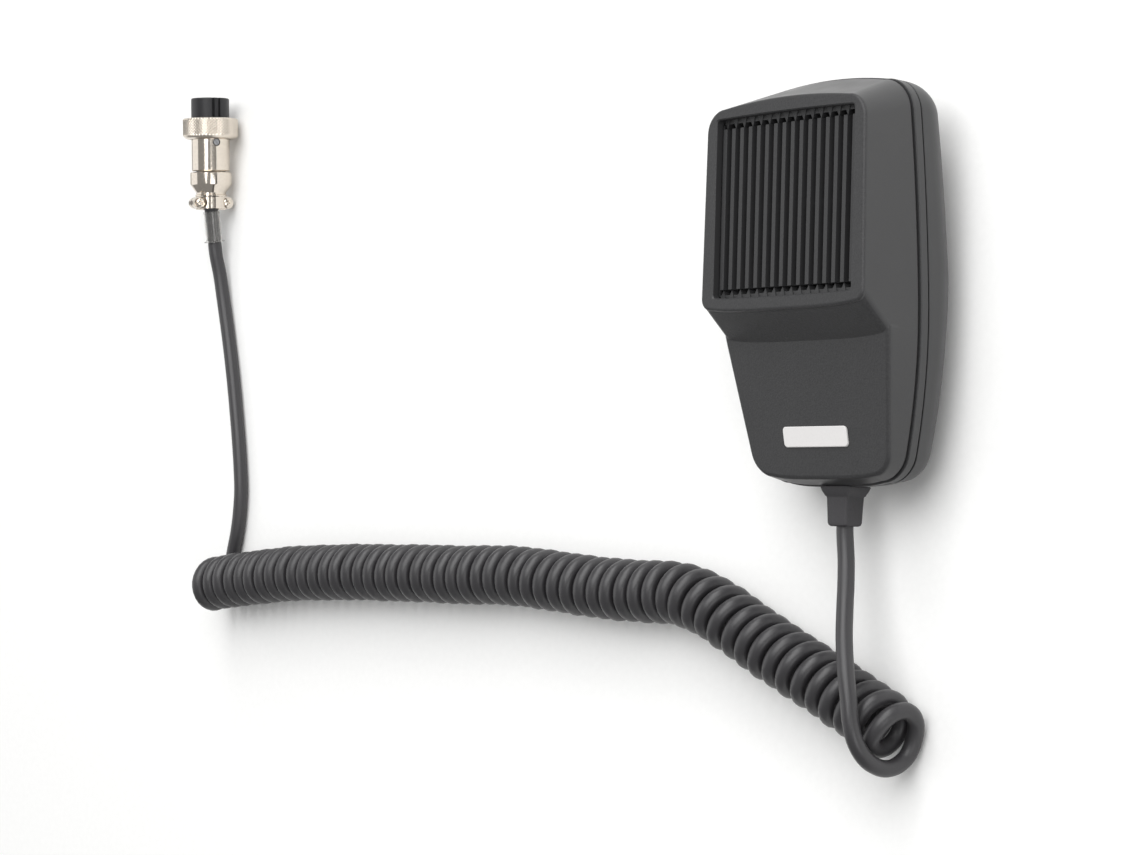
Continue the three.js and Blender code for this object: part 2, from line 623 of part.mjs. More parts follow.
function plugClampScrew(side) {
  const bolt = screw(1.5, 1.2, 0.85, 6.6).rotate([0, -90, 0]);
  return bolt.translate([3.75, side * PLUG.clamp.screwV, clampMiddle]);
}

function plugSleeve() {
  const { inner, outer, length } = SLEEVE;
  return turned([[inner, 0], [outer, 0], [outer, length], [inner, length], [inner, 0]], 16);
}

// ---------------------------------------------------------------- assembly
const microphone = new THREE.Group();
microphone.position.set(0, 0, FRONT_HEIGHT);
const add = (group, name, manifold, finish) => group.add(piece(name, toGeometry(manifold), finish));

add(microphone, "front_shell", frontShell(), "shell");
add(microphone, "rear_shell", rearShell(), "shell");
add(microphone, "grille_insert", grilleInsert(), "insert");
add(microphone, "grille_cloth", grilleCloth(), "cloth");
add(microphone, "badge_plate", badgePlate(), "badge");
add(microphone, "mic_cartridge", micCartridge(), "steel");
add(microphone, "cartridge_boot", cartridgeBoot(), "rubber");
add(microphone, "ptt_bar", pttBar(), "insert");
add(microphone, "ptt_pivot_pin", pttPin(), "steel");
add(microphone, "switch_body", switchBody(), "bakelite");
add(microphone, "switch_plunger", switchPlunger(), "white");

SWITCH_SCREWS.forEach((v, i) => {
  const made = downward(screw(2, 1.2, 1, 12)).translate([SWITCH.screwU, v, SWITCH.near + GAP + 1.2]);
  add(microphone, `switch_screw_${i + 1}`, made, "steel");
});

CASE_SCREWS.forEach(([u, v], i) => {
  const seat = seatAt(v);
  const length = bossTop(v) - 2 - seat + SCREW.headThick + GAP;
  const made = screw(SCREW.head, SCREW.headThick, SCREW.shank, length);
  add(microphone, `case_screw_${i + 1}`, made.translate([u, v, seat - SCREW.headThick - GAP]), "steel");
});

const button = new THREE.Group();
const backTilt = Math.atan(BACK.slope);
button.position.set(0, HANG_BUTTON.v, backAt(HANG_BUTTON.v));
button.rotation.set(Math.PI + backTilt, 0, 0);
add(button, "hang_button", hangButton(), "nickel");
const buttonScrew = downward(screw(2.8, 1.4, 1.3, 9)).translate([0, 0, HANG_BUTTON.protrusion - 0.2]);
add(button, "hang_button_screw", buttonScrew, "steel");
microphone.add(button);

add(microphone, "strain_relief", strainRelief(), "rubber");
add(microphone, "cord_tail", cordTail(), "cord");
add(microphone, "cord_clamp", cordClamp(), "steel");
CLAMP.screwUs.forEach((u, i) => {
  const made = downward(screw(2.1, 1.2, 0.9, 8)).translate([u, CLAMP.v, RELIEF.w + 2 * (GAP + 1.2)]);
  add(microphone, `cord_clamp_screw_${i + 1}`, made, "steel");
});

// Thin insulated wires from the cord's end to the switch and the cartridge.
const WIRES = [
  ["red", [[-1, -75.5, -24.4], [-4, -68, -22], [-9, -58, -17], [-12, -50, -13], [-13.4, -46.4, -11]]],
  ["white", [[0.4, -75.5, -24], [1, -68, -22], [-3, -56, -19], [-9.4, -50, -15], [-11, -44, -13.4],
    [-11.6, -39, -13]]],
  ["yellow", [[1.6, -75.5, -24.4], [5, -66, -22.6], [8, -52, -20], [6, -38, -18.4], [3, -28, -17],
    [2, -23, -16.2]]],
];
for (const [colour, route] of WIRES) {
  microphone.add(piece(`inner_wire_${colour}`, tube(route, 0.6, 6, 14), colour));
}

const cord = new THREE.Group();
cord.add(piece("mic_lead", tube(MIC_LEAD_ROUTE, CORD.radius, CORD.sides, 34), "cord"));
const coilAxis = COIL_AXIS.map(([u, v]) => [u, v, COIL.radius]);
cord.add(piece("cord_coil", tube(coilAxis, COIL.radius, COIL.sides, 30), "cord"));

const plug = new THREE.Group();
const toRad = THREE.MathUtils.degToRad;
const along = new THREE.Vector3(
  -Math.sin(toRad(PLUG.heading)) * Math.cos(toRad(PLUG.tilt)),
  -Math.cos(toRad(PLUG.heading)) * Math.cos(toRad(PLUG.tilt)),
  -Math.sin(toRad(PLUG.tilt)));
const clampSide = new THREE.Vector3(Math.sin(toRad(PLUG.roll)), 0, Math.cos(toRad(PLUG.roll)));
clampSide.addScaledVector(along, -clampSide.dot(along)).normalize();
const across = new THREE.Vector3().crossVectors(along, clampSide);
plug.quaternion.setFromRotationMatrix(new THREE.Matrix4().makeBasis(clampSide, across, along));
// The nut's rear edge rests on the floor, which sets how high the tip is.
const nutRest = PLUG.nut.rear - 1.4;
const tipHeight = PLUG.nut.radius * Math.cos(toRad(PLUG.tilt)) + nutRest * Math.sin(toRad(PLUG.tilt));
plug.position.set(PLUG.tip[0], PLUG.tip[1], tipHeight);

add(plug, "plug_insert", plugInsert(), "bakelite");
contactPlaces().forEach((place, i) => add(plug, `plug_contact_${i + 1}`, plugContact(place), "brass"));
add(plug, "plug_coupling_nut", plugNut(), "nickel");
add(plug, "plug_barrel", plugBarrel(), "nickel");
add(plug, "plug_set_screw", plugSetScrew(), "steel");
add(plug, "plug_rear_shell", plugRearShell(), "nickel");
add(plug, "plug_clamp_saddle", plugSaddle(), "nickel");
add(plug, "plug_clamp_screw_1", plugClampScrew(1), "nickel");
add(plug, "plug_clamp_screw_2", plugClampScrew(-1), "nickel");
add(plug, "cord_sleeve", plugSleeve().translate([0, 0, PLUG.rear.end + GAP]), "clear");

// The plug's end of the cord starts inside the sleeve, in line with the plug.
const plugPoint = (distance) => plug.position.clone().addScaledVector(along, distance).toArray();
const leadEnd = [GAP + SLEEVE.length, 5, GAP].map((distance) => plugPoint(PLUG.rear.end + distance));
const leadRoute = [...PLUG_LEAD_ROUTE, ...leadEnd];
cord.add(piece("plug_lead", tube(leadRoute, CORD.radius, CORD.sides, 34), "cord"));
cord.add(plug);

const handMicrophone = new THREE.Group();
handMicrophone.position.set(ORIGIN.u, ORIGIN.v, 0);
handMicrophone.add(microphone, cord);

export default handMicrophone;
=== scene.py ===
"""Hand microphone with a curly cord, laid on its back beside its plug."""
import math

import bmesh
import bpy
from mathutils import Matrix, Vector


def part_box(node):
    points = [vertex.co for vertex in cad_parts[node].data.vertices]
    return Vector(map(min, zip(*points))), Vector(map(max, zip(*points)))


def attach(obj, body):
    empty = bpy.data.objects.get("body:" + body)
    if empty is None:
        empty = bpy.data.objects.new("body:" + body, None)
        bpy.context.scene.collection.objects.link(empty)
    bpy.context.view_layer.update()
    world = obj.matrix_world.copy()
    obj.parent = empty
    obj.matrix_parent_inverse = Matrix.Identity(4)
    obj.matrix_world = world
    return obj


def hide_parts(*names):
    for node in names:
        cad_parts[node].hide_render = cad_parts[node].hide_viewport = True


bl_info = {
    "name": "Hand microphone",
    "version": (1, 0, 0),
    "blender": (4, 5, 0),
    "location": "3D View > Sidebar > Microphone",
    "description": "A hand microphone with a slatted grille, a talk bar, a curly cord and a screw-on plug",
    "category": "Object",
}

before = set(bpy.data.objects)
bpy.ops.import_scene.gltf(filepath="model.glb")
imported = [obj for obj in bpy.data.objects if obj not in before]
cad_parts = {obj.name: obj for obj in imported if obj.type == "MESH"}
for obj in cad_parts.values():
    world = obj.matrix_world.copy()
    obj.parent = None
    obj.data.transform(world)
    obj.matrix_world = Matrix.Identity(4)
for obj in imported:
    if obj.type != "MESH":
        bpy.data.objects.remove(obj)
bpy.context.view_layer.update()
MM = 0.001

# ------------------------------------------------------------------ places
# Pieces are modelled in millimetres. The case has axes u to its right, v to its top end and w out of
# its front, from the middle of the window's top edge.
CLOTH_LOW, CLOTH_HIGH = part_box("grille_cloth")
FACE_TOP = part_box("front_shell")[1][2]
CASE_ORIGIN = Vector(((CLOTH_LOW[0] + CLOTH_HIGH[0]) / 2, CLOTH_HIGH[1] + 2.4 * MM, FACE_TOP))
CASE = Matrix.Translation(CASE_ORIGIN) @ Matrix.Scale(MM, 4)
FLOOR = Matrix.Translation((CASE_ORIGIN.x, CASE_ORIGIN.y, 0)) @ Matrix.Scale(MM, 4)

BACK_SLOPE = 0.085
BACK_LEVEL = -31.03
BACK_ROUND = 9.0                        # radius of the rear shell's edges, before its lower end
ROUNDER_BELOW = -41                     # below this the edges are rounded off more and more,
ROUNDER_SIDE, ROUNDER_END, ROUNDER_RISE = 0.3, 0.1, 0.085       # by these shares of the way down
SHELL_INSIDE = 2.4                      # from the outline to the rear shell's cavity


def back_at(v):
    return BACK_LEVEL + BACK_SLOPE * v


BUTTON = (CASE @ Matrix.Translation((0, -18, back_at(-18)))
          @ Matrix.Rotation(math.pi + math.atan(BACK_SLOPE), 4, "X"))


def plug_frame():
    """Runs along the plug from the tip of its insert, with X on the clamp screws' side."""
    heading, tilt, roll = (math.radians(a) for a in (2.2, 4.4, 74.5))
    along = Vector((-math.sin(heading) * math.cos(tilt), -math.cos(heading) * math.cos(tilt),
                    -math.sin(tilt)))
    side = Vector((math.sin(roll), 0, math.cos(roll)))
    side = (side - along * side.dot(along)).normalized()
    across = along.cross(side)
    tip_height = 9 * math.cos(tilt) + 12 * math.sin(tilt)
    turned = Matrix((side, across, along)).transposed().to_4x4()
    return FLOOR @ Matrix.Translation((-297.5, 34.5, tip_height)) @ turned


PLUG = plug_frame()
# The clear tube leans down with the cord from where it leaves the clamp.
TUBE_LEAN = (Matrix.Translation((0, 0, 36.3))
             @ Matrix.Rotation(math.radians(6.5), 4, PLUG.to_3x3().inverted() @ Vector((1, 0, 0)))
             @ Matrix.Translation((0, 0, -36.3)))

# ------------------------------------------------------------------ materials


def tone(colour):
    """Linear RGBA from an sRGB hex colour."""
    parts = [int(colour[i:i + 2], 16) / 255 for i in (1, 3, 5)]
    return [c / 12.92 if c <= 0.04045 else ((c + 0.055) / 1.055) ** 2.4 for c in parts] + [1.0]


def add_node(tree, kind, sockets=None, **settings):
    """Adds a node, sets its options, and fills each socket with a value or a link."""
    made = tree.nodes.new(kind)
    for key, value in settings.items():
        setattr(made, key, value)
    for key, value in (sockets or {}).items():
        if isinstance(value, bpy.types.NodeSocket):
            tree.links.new(value, made.inputs[key])
        else:
            made.inputs[key].default_value = value
    return made


def blank(name, **sockets):
    """A material with one Principled shader, ready for its pattern."""
    made = bpy.data.materials.new(name)
    made.use_nodes = True
    tree = made.node_tree
    tree.nodes.clear()
    shader = add_node(tree, "ShaderNodeBsdfPrincipled",
                      {key.replace("_", " "): value for key, value in sockets.items()})
    out = add_node(tree, "ShaderNodeOutputMaterial", {"Surface": shader.outputs[0]})
    return made, tree, shader, out


def per_mm(period):
    """Noise scale whose features repeat about every `period` millimetres."""
    return 1000 / period


def grain(tree, shader, base, period, spread, bump, rough, rough_spread, layers=2.0):
    """Fine random grain: colour, roughness and height all follow one noise in real size."""
    place = add_node(tree, "ShaderNodeTexCoord").outputs["Object"]
    fine = add_node(tree, "ShaderNodeTexNoise",
                    {"Vector": place, "Scale": per_mm(period), "Detail": layers, "Roughness": 0.6})
    wide = add_node(tree, "ShaderNodeTexNoise",
                    {"Vector": place, "Scale": per_mm(period * 40), "Detail": 2.0})
    light = [min(1.0, c * (1 + spread)) for c in base[:3]] + [1]
    dark = [c * (1 - spread) for c in base[:3]] + [1]
    shade = add_node(tree, "ShaderNodeMapRange",
                     {"Value": fine.outputs["Fac"], "From Min": 0.3, "From Max": 0.7})
    mixed = add_node(tree, "ShaderNodeMix", {"Factor": shade.outputs[0], 6: dark, 7: light}, data_type="RGBA")
    tree.links.new(mixed.outputs[2], shader.inputs["Base Color"])
    level = add_node(tree, "ShaderNodeMapRange", {
        "Value": wide.outputs["Fac"], "From Min": 0.3, "From Max": 0.7,
        "To Min": rough - rough_spread, "To Max": rough + rough_spread})
    tree.links.new(level.outputs[0], shader.inputs["Roughness"])
    height = add_node(tree, "ShaderNodeBump", {
        "Strength": bump, "Distance": period * 0.3 * MM, "Height": fine.outputs["Fac"]})
    tree.links.new(height.outputs[0], shader.inputs["Normal"])
    return fine


def abs_sand_blasted(colour):
    """ABS moulded in a sand-blasted tool: charcoal, with an even matt speckle on every flat."""
    made, tree, shader, _ = blank("abs_charcoal_sand_blasted", IOR=1.53, Specular_IOR_Level=0.3)
    grain(tree, shader, colour, 0.5, 0.16, 0.45, 0.46, 0.04)
    return made


def abs_satin(colour):
    """ABS from a stone-polished tool: the same charcoal, smoother, so light runs along its curves."""
    made, tree, shader, _ = blank("abs_charcoal_satin", IOR=1.53, Specular_IOR_Level=0.45)
    grain(tree, shader, colour, 0.3, 0.05, 0.1, 0.4, 0.04)
    return made


def polyester_cloth():
    """Black polyester dust cloth, plain woven: a dead black with a faint grid of threads."""
    made, tree, shader, _ = blank("polyester_cloth_woven", Roughness=0.95, Specular_IOR_Level=0.1)
    place = add_node(tree, "ShaderNodeTexCoord").outputs["Object"]
    threads = [add_node(tree, "ShaderNodeTexWave",
                        {"Vector": place, "Scale": per_mm(0.5) / 6.28, "Distortion": 0.4},
                        bands_direction=axis) for axis in "XY"]
    weave = add_node(tree, "ShaderNodeMath", {0: threads[0].outputs["Fac"], 1: threads[1].outputs["Fac"]},
                     operation="MULTIPLY")
    mixed = add_node(tree, "ShaderNodeMix",
                     {"Factor": weave.outputs[0], 6: tone("#060606"), 7: tone("#151516")}, data_type="RGBA")
    tree.links.new(mixed.outputs[2], shader.inputs["Base Color"])
    height = add_node(tree, "ShaderNodeBump",
                      {"Strength": 0.6, "Distance": 0.0001, "Height": weave.outputs[0]})
    tree.links.new(height.outputs[0], shader.inputs["Normal"])
    return made


def vinyl_label(colour):
    """White rigid vinyl, printed white and laminated: bright, nearly flat, with a soft gloss."""
    made, tree, shader, _ = blank("vinyl_white_laminated", IOR=1.5, Coat_Weight=0.3, Coat_Roughness=0.2)
    grain(tree, shader, colour, 0.5, 0.02, 0.03, 0.38, 0.04)
    return made


def cord_jacket(colour):
    """PVC cord jacket, extruded and set in a coil: charcoal with a soft sheen and faint drawing lines."""
    made, tree, shader, _ = blank("pvc_jacket_extruded", IOR=1.52, Specular_IOR_Level=0.5)
    grain(tree, shader, colour, 0.4, 0.07, 0.1, 0.4, 0.05)
    return made


def moulded_rubber(name, colour, rough=0.6):
    """Soft PVC moulded over the cord: matt, a little chalky, no gloss on its edges."""
    made, tree, shader, _ = blank(name, IOR=1.5, Specular_IOR_Level=0.35)
    grain(tree, shader, colour, 0.5, 0.08, 0.2, rough, 0.06)
    return made


def plated(name, colour, rough, scratch, bump=0.05):
    """Bright metal plating: reflects cleanly, with light swirls from turning and polishing."""
    made, tree, shader, _ = blank(name, Metallic=1.0)
    grain(tree, shader, colour, scratch, 0.04, bump, rough, 0.03)
    return made


def clear_vinyl():
    """Clear soft vinyl tube: lets the dark cord show through a milky gloss."""
    made, tree, shader, _ = blank("vinyl_tube_clear", IOR=1.45, Transmission_Weight=0.95,
                                  Specular_IOR_Level=0.5)
    grain(tree, shader, tone("#F2F1EE"), 0.8, 0.02, 0.05, 0.08, 0.03)
    return made


def studio_floor():
    """Seamless white paper: plain, matt, with a barely visible tooth."""
    made, tree, shader, _ = blank("paper_white_seamless", Specular_IOR_Level=0.1)
    grain(tree, shader, tone("#F4F4F3"), 2.0, 0.01, 0.02, 0.9, 0.03)
    return made


MATERIALS = {}


def load_materials(colours):
    """Makes each finish once, from the user's colours."""
    MATERIALS.update({
        "shell": abs_sand_blasted(list(colours.front)),
        "satin": abs_satin(list(colours.sides)),
        "slats": moulded_rubber("abs_slats_moulded", list(colours.slats), 0.5),
        "cloth": polyester_cloth(),
        "badge": vinyl_label(list(colours.badge)),
        "jacket": cord_jacket(list(colours.cord)),
        "relief": moulded_rubber("pvc_relief_moulded", list(colours.relief)),
        "rubber": moulded_rubber("rubber_ring_moulded", tone("#262627"), 0.75),
        "nickel": plated("brass_nickel_plated", list(colours.nickel), 0.14, 0.9),
        "knurl": plated("brass_nickel_knurled", list(colours.nickel), 0.26, 0.5),
        "steel": plated("steel_zinc_plated", tone("#A4A5A8"), 0.32, 0.4),
        "can": plated("aluminium_pressed", tone("#C2C4C8"), 0.35, 0.5),
        "brass": plated("brass_turned", tone("#D0AC5E"), 0.25, 0.4),
        "insulator": moulded_rubber("bakelite_black_moulded", tone("#242426"), 0.36),
        "acetal": moulded_rubber("acetal_white_turned", tone("#E8E8E4"), 0.4),
        "clear": clear_vinyl(),
        "red": moulded_rubber("pvc_wire_red", tone("#B02020"), 0.45),
        "white": moulded_rubber("pvc_wire_white", tone("#E6E6E4"), 0.45),
        "yellow": moulded_rubber("pvc_wire_yellow", tone("#D8B020"), 0.45),
        "floor": studio_floor(),
    })


def finish_node(node, finish):
    """Gives a CAD node its material and leaves its mesh alone."""
    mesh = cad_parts[node].data
    mesh.materials.clear()
    mesh.materials.append(MATERIALS[finish])


# ------------------------------------------------------------------ shaping helpers


def link(name, bm):
    mesh = bpy.data.meshes.new(name)
    bm.to_mesh(mesh)
    bm.free()
    made = bpy.data.objects.new(name, mesh)
    bpy.context.scene.collection.objects.link(made)
    return made


def loop(bm, points):
    """A closed wire through points."""
    verts = [bm.verts.new(point) for point in points]
    return [bm.edges.new((a, b)) for a, b in zip(verts, verts[1:] + verts[:1])]


def loft(rings, name="blank"):
    """A closed skin bridged through rings of equal length."""
    bm = bmesh.new()
    wires = [loop(bm, ring) for ring in rings]
    for first, second in zip(wires, wires[1:]):
        bmesh.ops.bridge_loops(bm, edges=first + second)
    for wire in (wires[0], wires[-1]):
        bmesh.ops.edgeloop_fill(bm, edges=wire)
    bmesh.ops.recalc_face_normals(bm, faces=bm.faces)
    return link(name, bm)


def settle_order(bm):
    """Sorts edges and faces by their vertices: spin leaves them in no fixed order, and a cut follows it."""
    bm.verts.index_update()
    for items in (bm.edges, bm.faces):
        ordered = sorted(items, key=lambda item: sorted(vert.index for vert in item.verts))
        for i, item in enumerate(ordered):
            item.index = i
        items.sort()


def lathe(profile, steps=48, name="blank"):
    """A solid of revolution about Z from (radius, height) points that start and end on the axis or meet."""
    bm = bmesh.new()
    verts = [bm.verts.new((radius, 0, height)) for radius, height in profile]
    edges = [bm.edges.new(pair) for pair in zip(verts, verts[1:])]
    bmesh.ops.spin(bm, geom=verts + edges, cent=(0, 0, 0), axis=(0, 0, 1), angle=2 * math.pi,
                   steps=steps, use_merge=True, use_duplicate=False)
    bmesh.ops.remove_doubles(bm, verts=bm.verts, dist=1e-4)
    bmesh.ops.recalc_face_normals(bm, faces=bm.faces)
    settle_order(bm)
    return link(name, bm)


def bar(radius, start, end, steps=32, name="blank"):
    """A round bar between two points."""
    start, end = Vector(start), Vector(end)
    bm = bmesh.new()
    turn = (end - start).to_track_quat("Z", "Y").to_matrix().to_4x4()
    bmesh.ops.create_cone(bm, cap_ends=True, segments=steps, radius1=radius, radius2=radius,
                          depth=(end - start).length,
                          matrix=Matrix.Translation((start + end) / 2) @ turn)
    return link(name, bm)


def block(low, high, bevel=0.0, segments=3, name="blank"):
    """A box between two corners, with its edges rounded."""
    low, high = Vector(low), Vector(high)
    bm = bmesh.new()
    size = high - low
    bmesh.ops.create_cube(bm, size=1,
                          matrix=Matrix.Translation((low + high) / 2) @ Matrix.Diagonal((*size, 1)))
    if bevel:
        bmesh.ops.bevel(bm, geom=bm.edges, offset=bevel, offset_type="OFFSET", segments=segments,
                        affect="EDGES", profile=0.5, material=-1)
    return link(name, bm)


def joined(name, pieces):
    """Puts the meshes of several blanks into one, without joining their walls."""
    bm = bmesh.new()
    for piece in pieces:
        bm.from_mesh(piece.data)
        bpy.data.objects.remove(piece)
    return link(name, bm)


def carve(base, operation, *tools):
    """Cuts, joins or keeps what is common, and leaves only the result."""
    for tool in tools:
        step = base.modifiers.new("carve", "BOOLEAN")
        step.operation = operation
        step.solver = "EXACT"
        step.object = tool
    depsgraph = bpy.context.evaluated_depsgraph_get()
    mesh = bpy.data.meshes.new_from_object(base.evaluated_get(depsgraph))
    base.modifiers.clear()
    base.data = mesh
    for tool in tools:
        bpy.data.objects.remove(tool)
    return base


def place(piece, name, where, body, finish, nodes=(), sharp=35, soften=0.0, segments=2, upright=None):
    """Sets a finished blank in the frame, smooths it, hangs it on the body it rides on, and hides the CAD nodes it
    stands in for.
    """
    bm = bmesh.new()
    bm.from_mesh(piece.data)
    bmesh.ops.remove_doubles(bm, verts=bm.verts, dist=1e-4)
    bmesh.ops.transform(bm, matrix=where, verts=bm.verts)
    if where.determinant() < 0:
        bmesh.ops.reverse_faces(bm, faces=bm.faces)
    bm.to_mesh(piece.data)
    bm.free()
    piece.name = name
    piece.data.name = name
    piece.data.materials.clear()
    piece.data.materials.append(MATERIALS[finish])
    if upright:
        # Walls that stand up from the flats have a finish of their own.
        piece.data.materials.append(MATERIALS[upright])
        for face in piece.data.polygons:
            face.material_index = int(abs(face.normal.z) < 0.5)
    piece.data.shade_smooth()
    piece.data.set_sharp_from_angle(angle=math.radians(sharp))
    if soften:
        edge = piece.modifiers.new("soft edges", "BEVEL")
        edge.width = soften * MM
        edge.segments = segments
        edge.limit_method = "ANGLE"
        edge.angle_limit = math.radians(sharp)
        edge.use_clamp_overlap = True
    even = piece.modifiers.new("even shading", "WEIGHTED_NORMAL")
    even.keep_sharp = True
    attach(piece, body)
    if nodes:
        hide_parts(*nodes)
    return piece


# ------------------------------------------------------------------ outlines of the case


def outline(top, bottom, half_at, crown=0.0, sag=0.0, top_corner=1.0, bottom_corner=1.0, inset=0.0,
            ends=8, corner=10, side=14):
    """Closed (u, v) outline of the case at one level, from the middle of its top edge."""
    r_top, r_bottom = max(0.3, top_corner - inset), max(0.3, bottom_corner - inset)
    v_top, v_bottom = top - inset, bottom + inset

    def half(v):
        return half_at(v) - inset

    left = []
    top_half, bottom_half = half(v_top) - r_top, half(v_bottom) - r_bottom
    for i in range(ends):
        t = math.sin(math.pi / 2 * i / ends)
        left.append((-top_half * t, v_top + crown * (1 - t * t)))
    for i in range(corner + 1):
        a = math.pi / 2 * (1 - i / corner)
        v = v_top - r_top * (1 - math.sin(a))
        left.append((-(half(v) - r_top * (1 - math.cos(a))), v))
    side_top, side_bottom = v_top - r_top, v_bottom + r_bottom
    for i in range(1, side):
        v = side_top + (side_bottom - side_top) * i / side
        left.append((-half(v), v))
    for i in range(corner + 1):
        a = math.pi / 2 * i / corner
        v = v_bottom + r_bottom * (1 - math.sin(a))
        left.append((-(half(v) - r_bottom * (1 - math.cos(a))), v))
    for i in range(ends - 1, 0, -1):
        t = math.sin(math.pi / 2 * i / ends)
        left.append((-bottom_half * t, v_bottom - sag * (1 - t ** 4)))
    right = [(-u, v) for u, v in reversed(left[1:])]
    return left + [(0, v_bottom - sag)] + right


def on_plane(points, level, slope=0.0):
    return [(u, v, level + slope * v) for u, v in points]


def rim_half(v):
    """Half-width where the shells part: widest near the middle, narrower at both ends."""
    return 29.8 - (0.0008 if v > -46 else 0.0031) * (v + 46) ** 2


def fillet(radius, steps):
    """(inset, drop) pairs round a quarter circle, from a flat to the wall below it."""
    for i in range(steps + 1):
        a = math.pi / 2 * i / steps
        yield radius * (1 - math.sin(a)), radius * (1 - math.cos(a))


RIM = dict(top=8.1, bottom=-91.2, crown=1.5, sag=1.0, top_corner=8, bottom_corner=6.5, half_at=rim_half)
RIM_LEVEL, RIM_SLOPE, RIM_HEIGHT, RIM_PROUD = -17.1, 0.05, 2.2, 0.4
GAP = 0.3
WINDOW_HALF, WINDOW_HEIGHT = 24.4, 45.5
LOWER_SLOPE = 0.2
LOWER_LEVEL = -8.94 + LOWER_SLOPE * 54.9        # level of the lower face's plane at v = 0
WALL = 2.2


def rim_above(v):
    return RIM_LEVEL + RIM_SLOPE * v


def walls(rings, foot, level, slope, edge, coarse):
    """Rings of one raised form: flat, rounded edge, wall, groove above the rim, neck inside the rim."""
    made = []
    for inset, drop in fillet(edge, 2 if coarse else 6):
        made.append(on_plane(outline(**rings, inset=inset), level - drop, slope))
    for inset, rise in ((0.0, 1.3), (0.12, 0.95), (0.4, 0.6), (0.6, 0.3), (0.6, -1.0)):
        made.append(on_plane(outline(**foot, inset=inset), RIM_LEVEL + rise, RIM_SLOPE))
    return made


def raised_form(shrink=0.0):
    shift = -1.2 if shrink else 0.0
    face = dict(top=2.8 - shrink, bottom=-48.5 + shrink + shift, crown=1.4, sag=0.9,
                top_corner=max(1, 6 - shrink), bottom_corner=max(0.5, 3.0 - shrink),
                half_at=lambda v: 28.1 + (2.8 - v) * 0.8 / 49.4 - shrink)
    foot = dict(top=8.1 - shrink, bottom=-64.3 + shrink + shift, crown=1.5, sag=0.6,
                top_corner=8 - shrink, bottom_corner=max(0.5, 2.2 - shrink),
                half_at=lambda v: rim_half(v) - 0.02 - shrink)
    return loft(walls(face, foot, -shrink, 0, 1.0, bool(shrink)))


def lower_form(shrink=0.0):
    face = dict(top=-52.5 - shrink, bottom=-90.3 + shrink, crown=0, sag=0.8, top_corner=2,
                bottom_corner=max(0.5, 5.8 - shrink),
                half_at=lambda v: 29.27 + 0.155 * min(0, v + 54.9) - shrink)
    foot = dict(top=-52.5 - shrink, bottom=-91.2 + shrink, crown=0, sag=1.0, top_corner=2,
                bottom_corner=max(0.5, 6.5 - shrink),
                half_at=lambda v: rim_half(v) - (0.15 if v > -54.5 else 0) - shrink)
    return loft(walls(face, foot, LOWER_LEVEL - shrink, LOWER_SLOPE, 1.3, bool(shrink)))


def rim_form():
    """The proud band that the front shell stands on."""
    low = RIM_LEVEL - RIM_HEIGHT
    rings = [on_plane(outline(**RIM, inset=1.4), RIM_LEVEL + 0.25, RIM_SLOPE)]
    for inset, drop in fillet(0.3, 4):
        rings.append(on_plane(outline(**RIM, inset=inset - RIM_PROUD), RIM_LEVEL + 0.25 - drop, RIM_SLOPE))
    for inset, drop in reversed(list(fillet(0.25, 3))):
        rings.append(on_plane(outline(**RIM, inset=inset - RIM_PROUD), low + drop, RIM_SLOPE))
    rings.append(on_plane(outline(**RIM, inset=1.0), low, RIM_SLOPE))
    return loft(rings)


def prism(points, levels, name="blank"):
    """A skin through one flat outline at several (grow, level) steps."""
    middle = Vector((sum(p[0] for p in points) / len(points), sum(p[1] for p in points) / len(points)))
    rings = []
    for grow, level in levels:
        ring = []
        for u, v in points:
            out = Vector((u, v)) - middle
            ring.append((u + math.copysign(grow, out.x), v + math.copysign(grow, out.y), level))
        rings.append(ring)
    return loft(rings, name)


def window_cut():
    """The window through the front wall, with its rim eased."""
    shape = outline(top=0, bottom=-WINDOW_HEIGHT, half_at=lambda v: WINDOW_HALF, crown=0.35, sag=0.25,
                    corner=6, side=4)
    return prism(shape, [(0.3, 1.0), (0.3, 0.02), (0.0, -0.3), (0.0, -5.0)])


def talk_opening():
    return block((-36, -43.5, -15.5), (-22, -2.5, -5.5), 0.8)


def relief_hole():
    return block((-3.9, -97, -28.6), (3.9, -86, -21.4), 0.6)


CASE_SCREWS = ((20.5, -52.5), (-20.5, -52.5), (16.5, -80), (-16.5, -80))


SEAT_DEPTH, LOW_SEAT_EXTRA, LOW_SEATS_BELOW = 3.1, 2.2, -70
HEAD_ABOVE_SEAT = 1.9
SEAT_RADIUS = 3.1


def seat_at(v):
    """Where a case screw's head is seated: deeper near the rounded lower end."""
    return back_at(v) + SEAT_DEPTH + (LOW_SEAT_EXTRA if v < LOW_SEATS_BELOW else 0)


def back_rings(steps, inset=0.0, proud=0.0):
    """From the rear shell's wall round to its flat, rounded off more and more towards the lower end."""
    radius = BACK_ROUND - inset

    def below(v):
        return max(0, ROUNDER_BELOW - v)

    for i in range(steps + 1):
        a = math.pi / 2 * i / steps
        way, rise = 1 - math.cos(a), 1 - math.sin(a)
        shape = {**RIM, "bottom": RIM["bottom"] + ROUNDER_END * below(RIM["bottom"]) * way,
                 "half_at": lambda v: rim_half(v) - ROUNDER_SIDE * below(v) * way}
        ring = outline(**shape, inset=inset + radius * way - proud * (1 - i / steps))
        yield [(u, v, back_at(v) + inset + (radius + ROUNDER_RISE * below(v)) * rise) for u, v in ring]


# ------------------------------------------------------------------ user settings


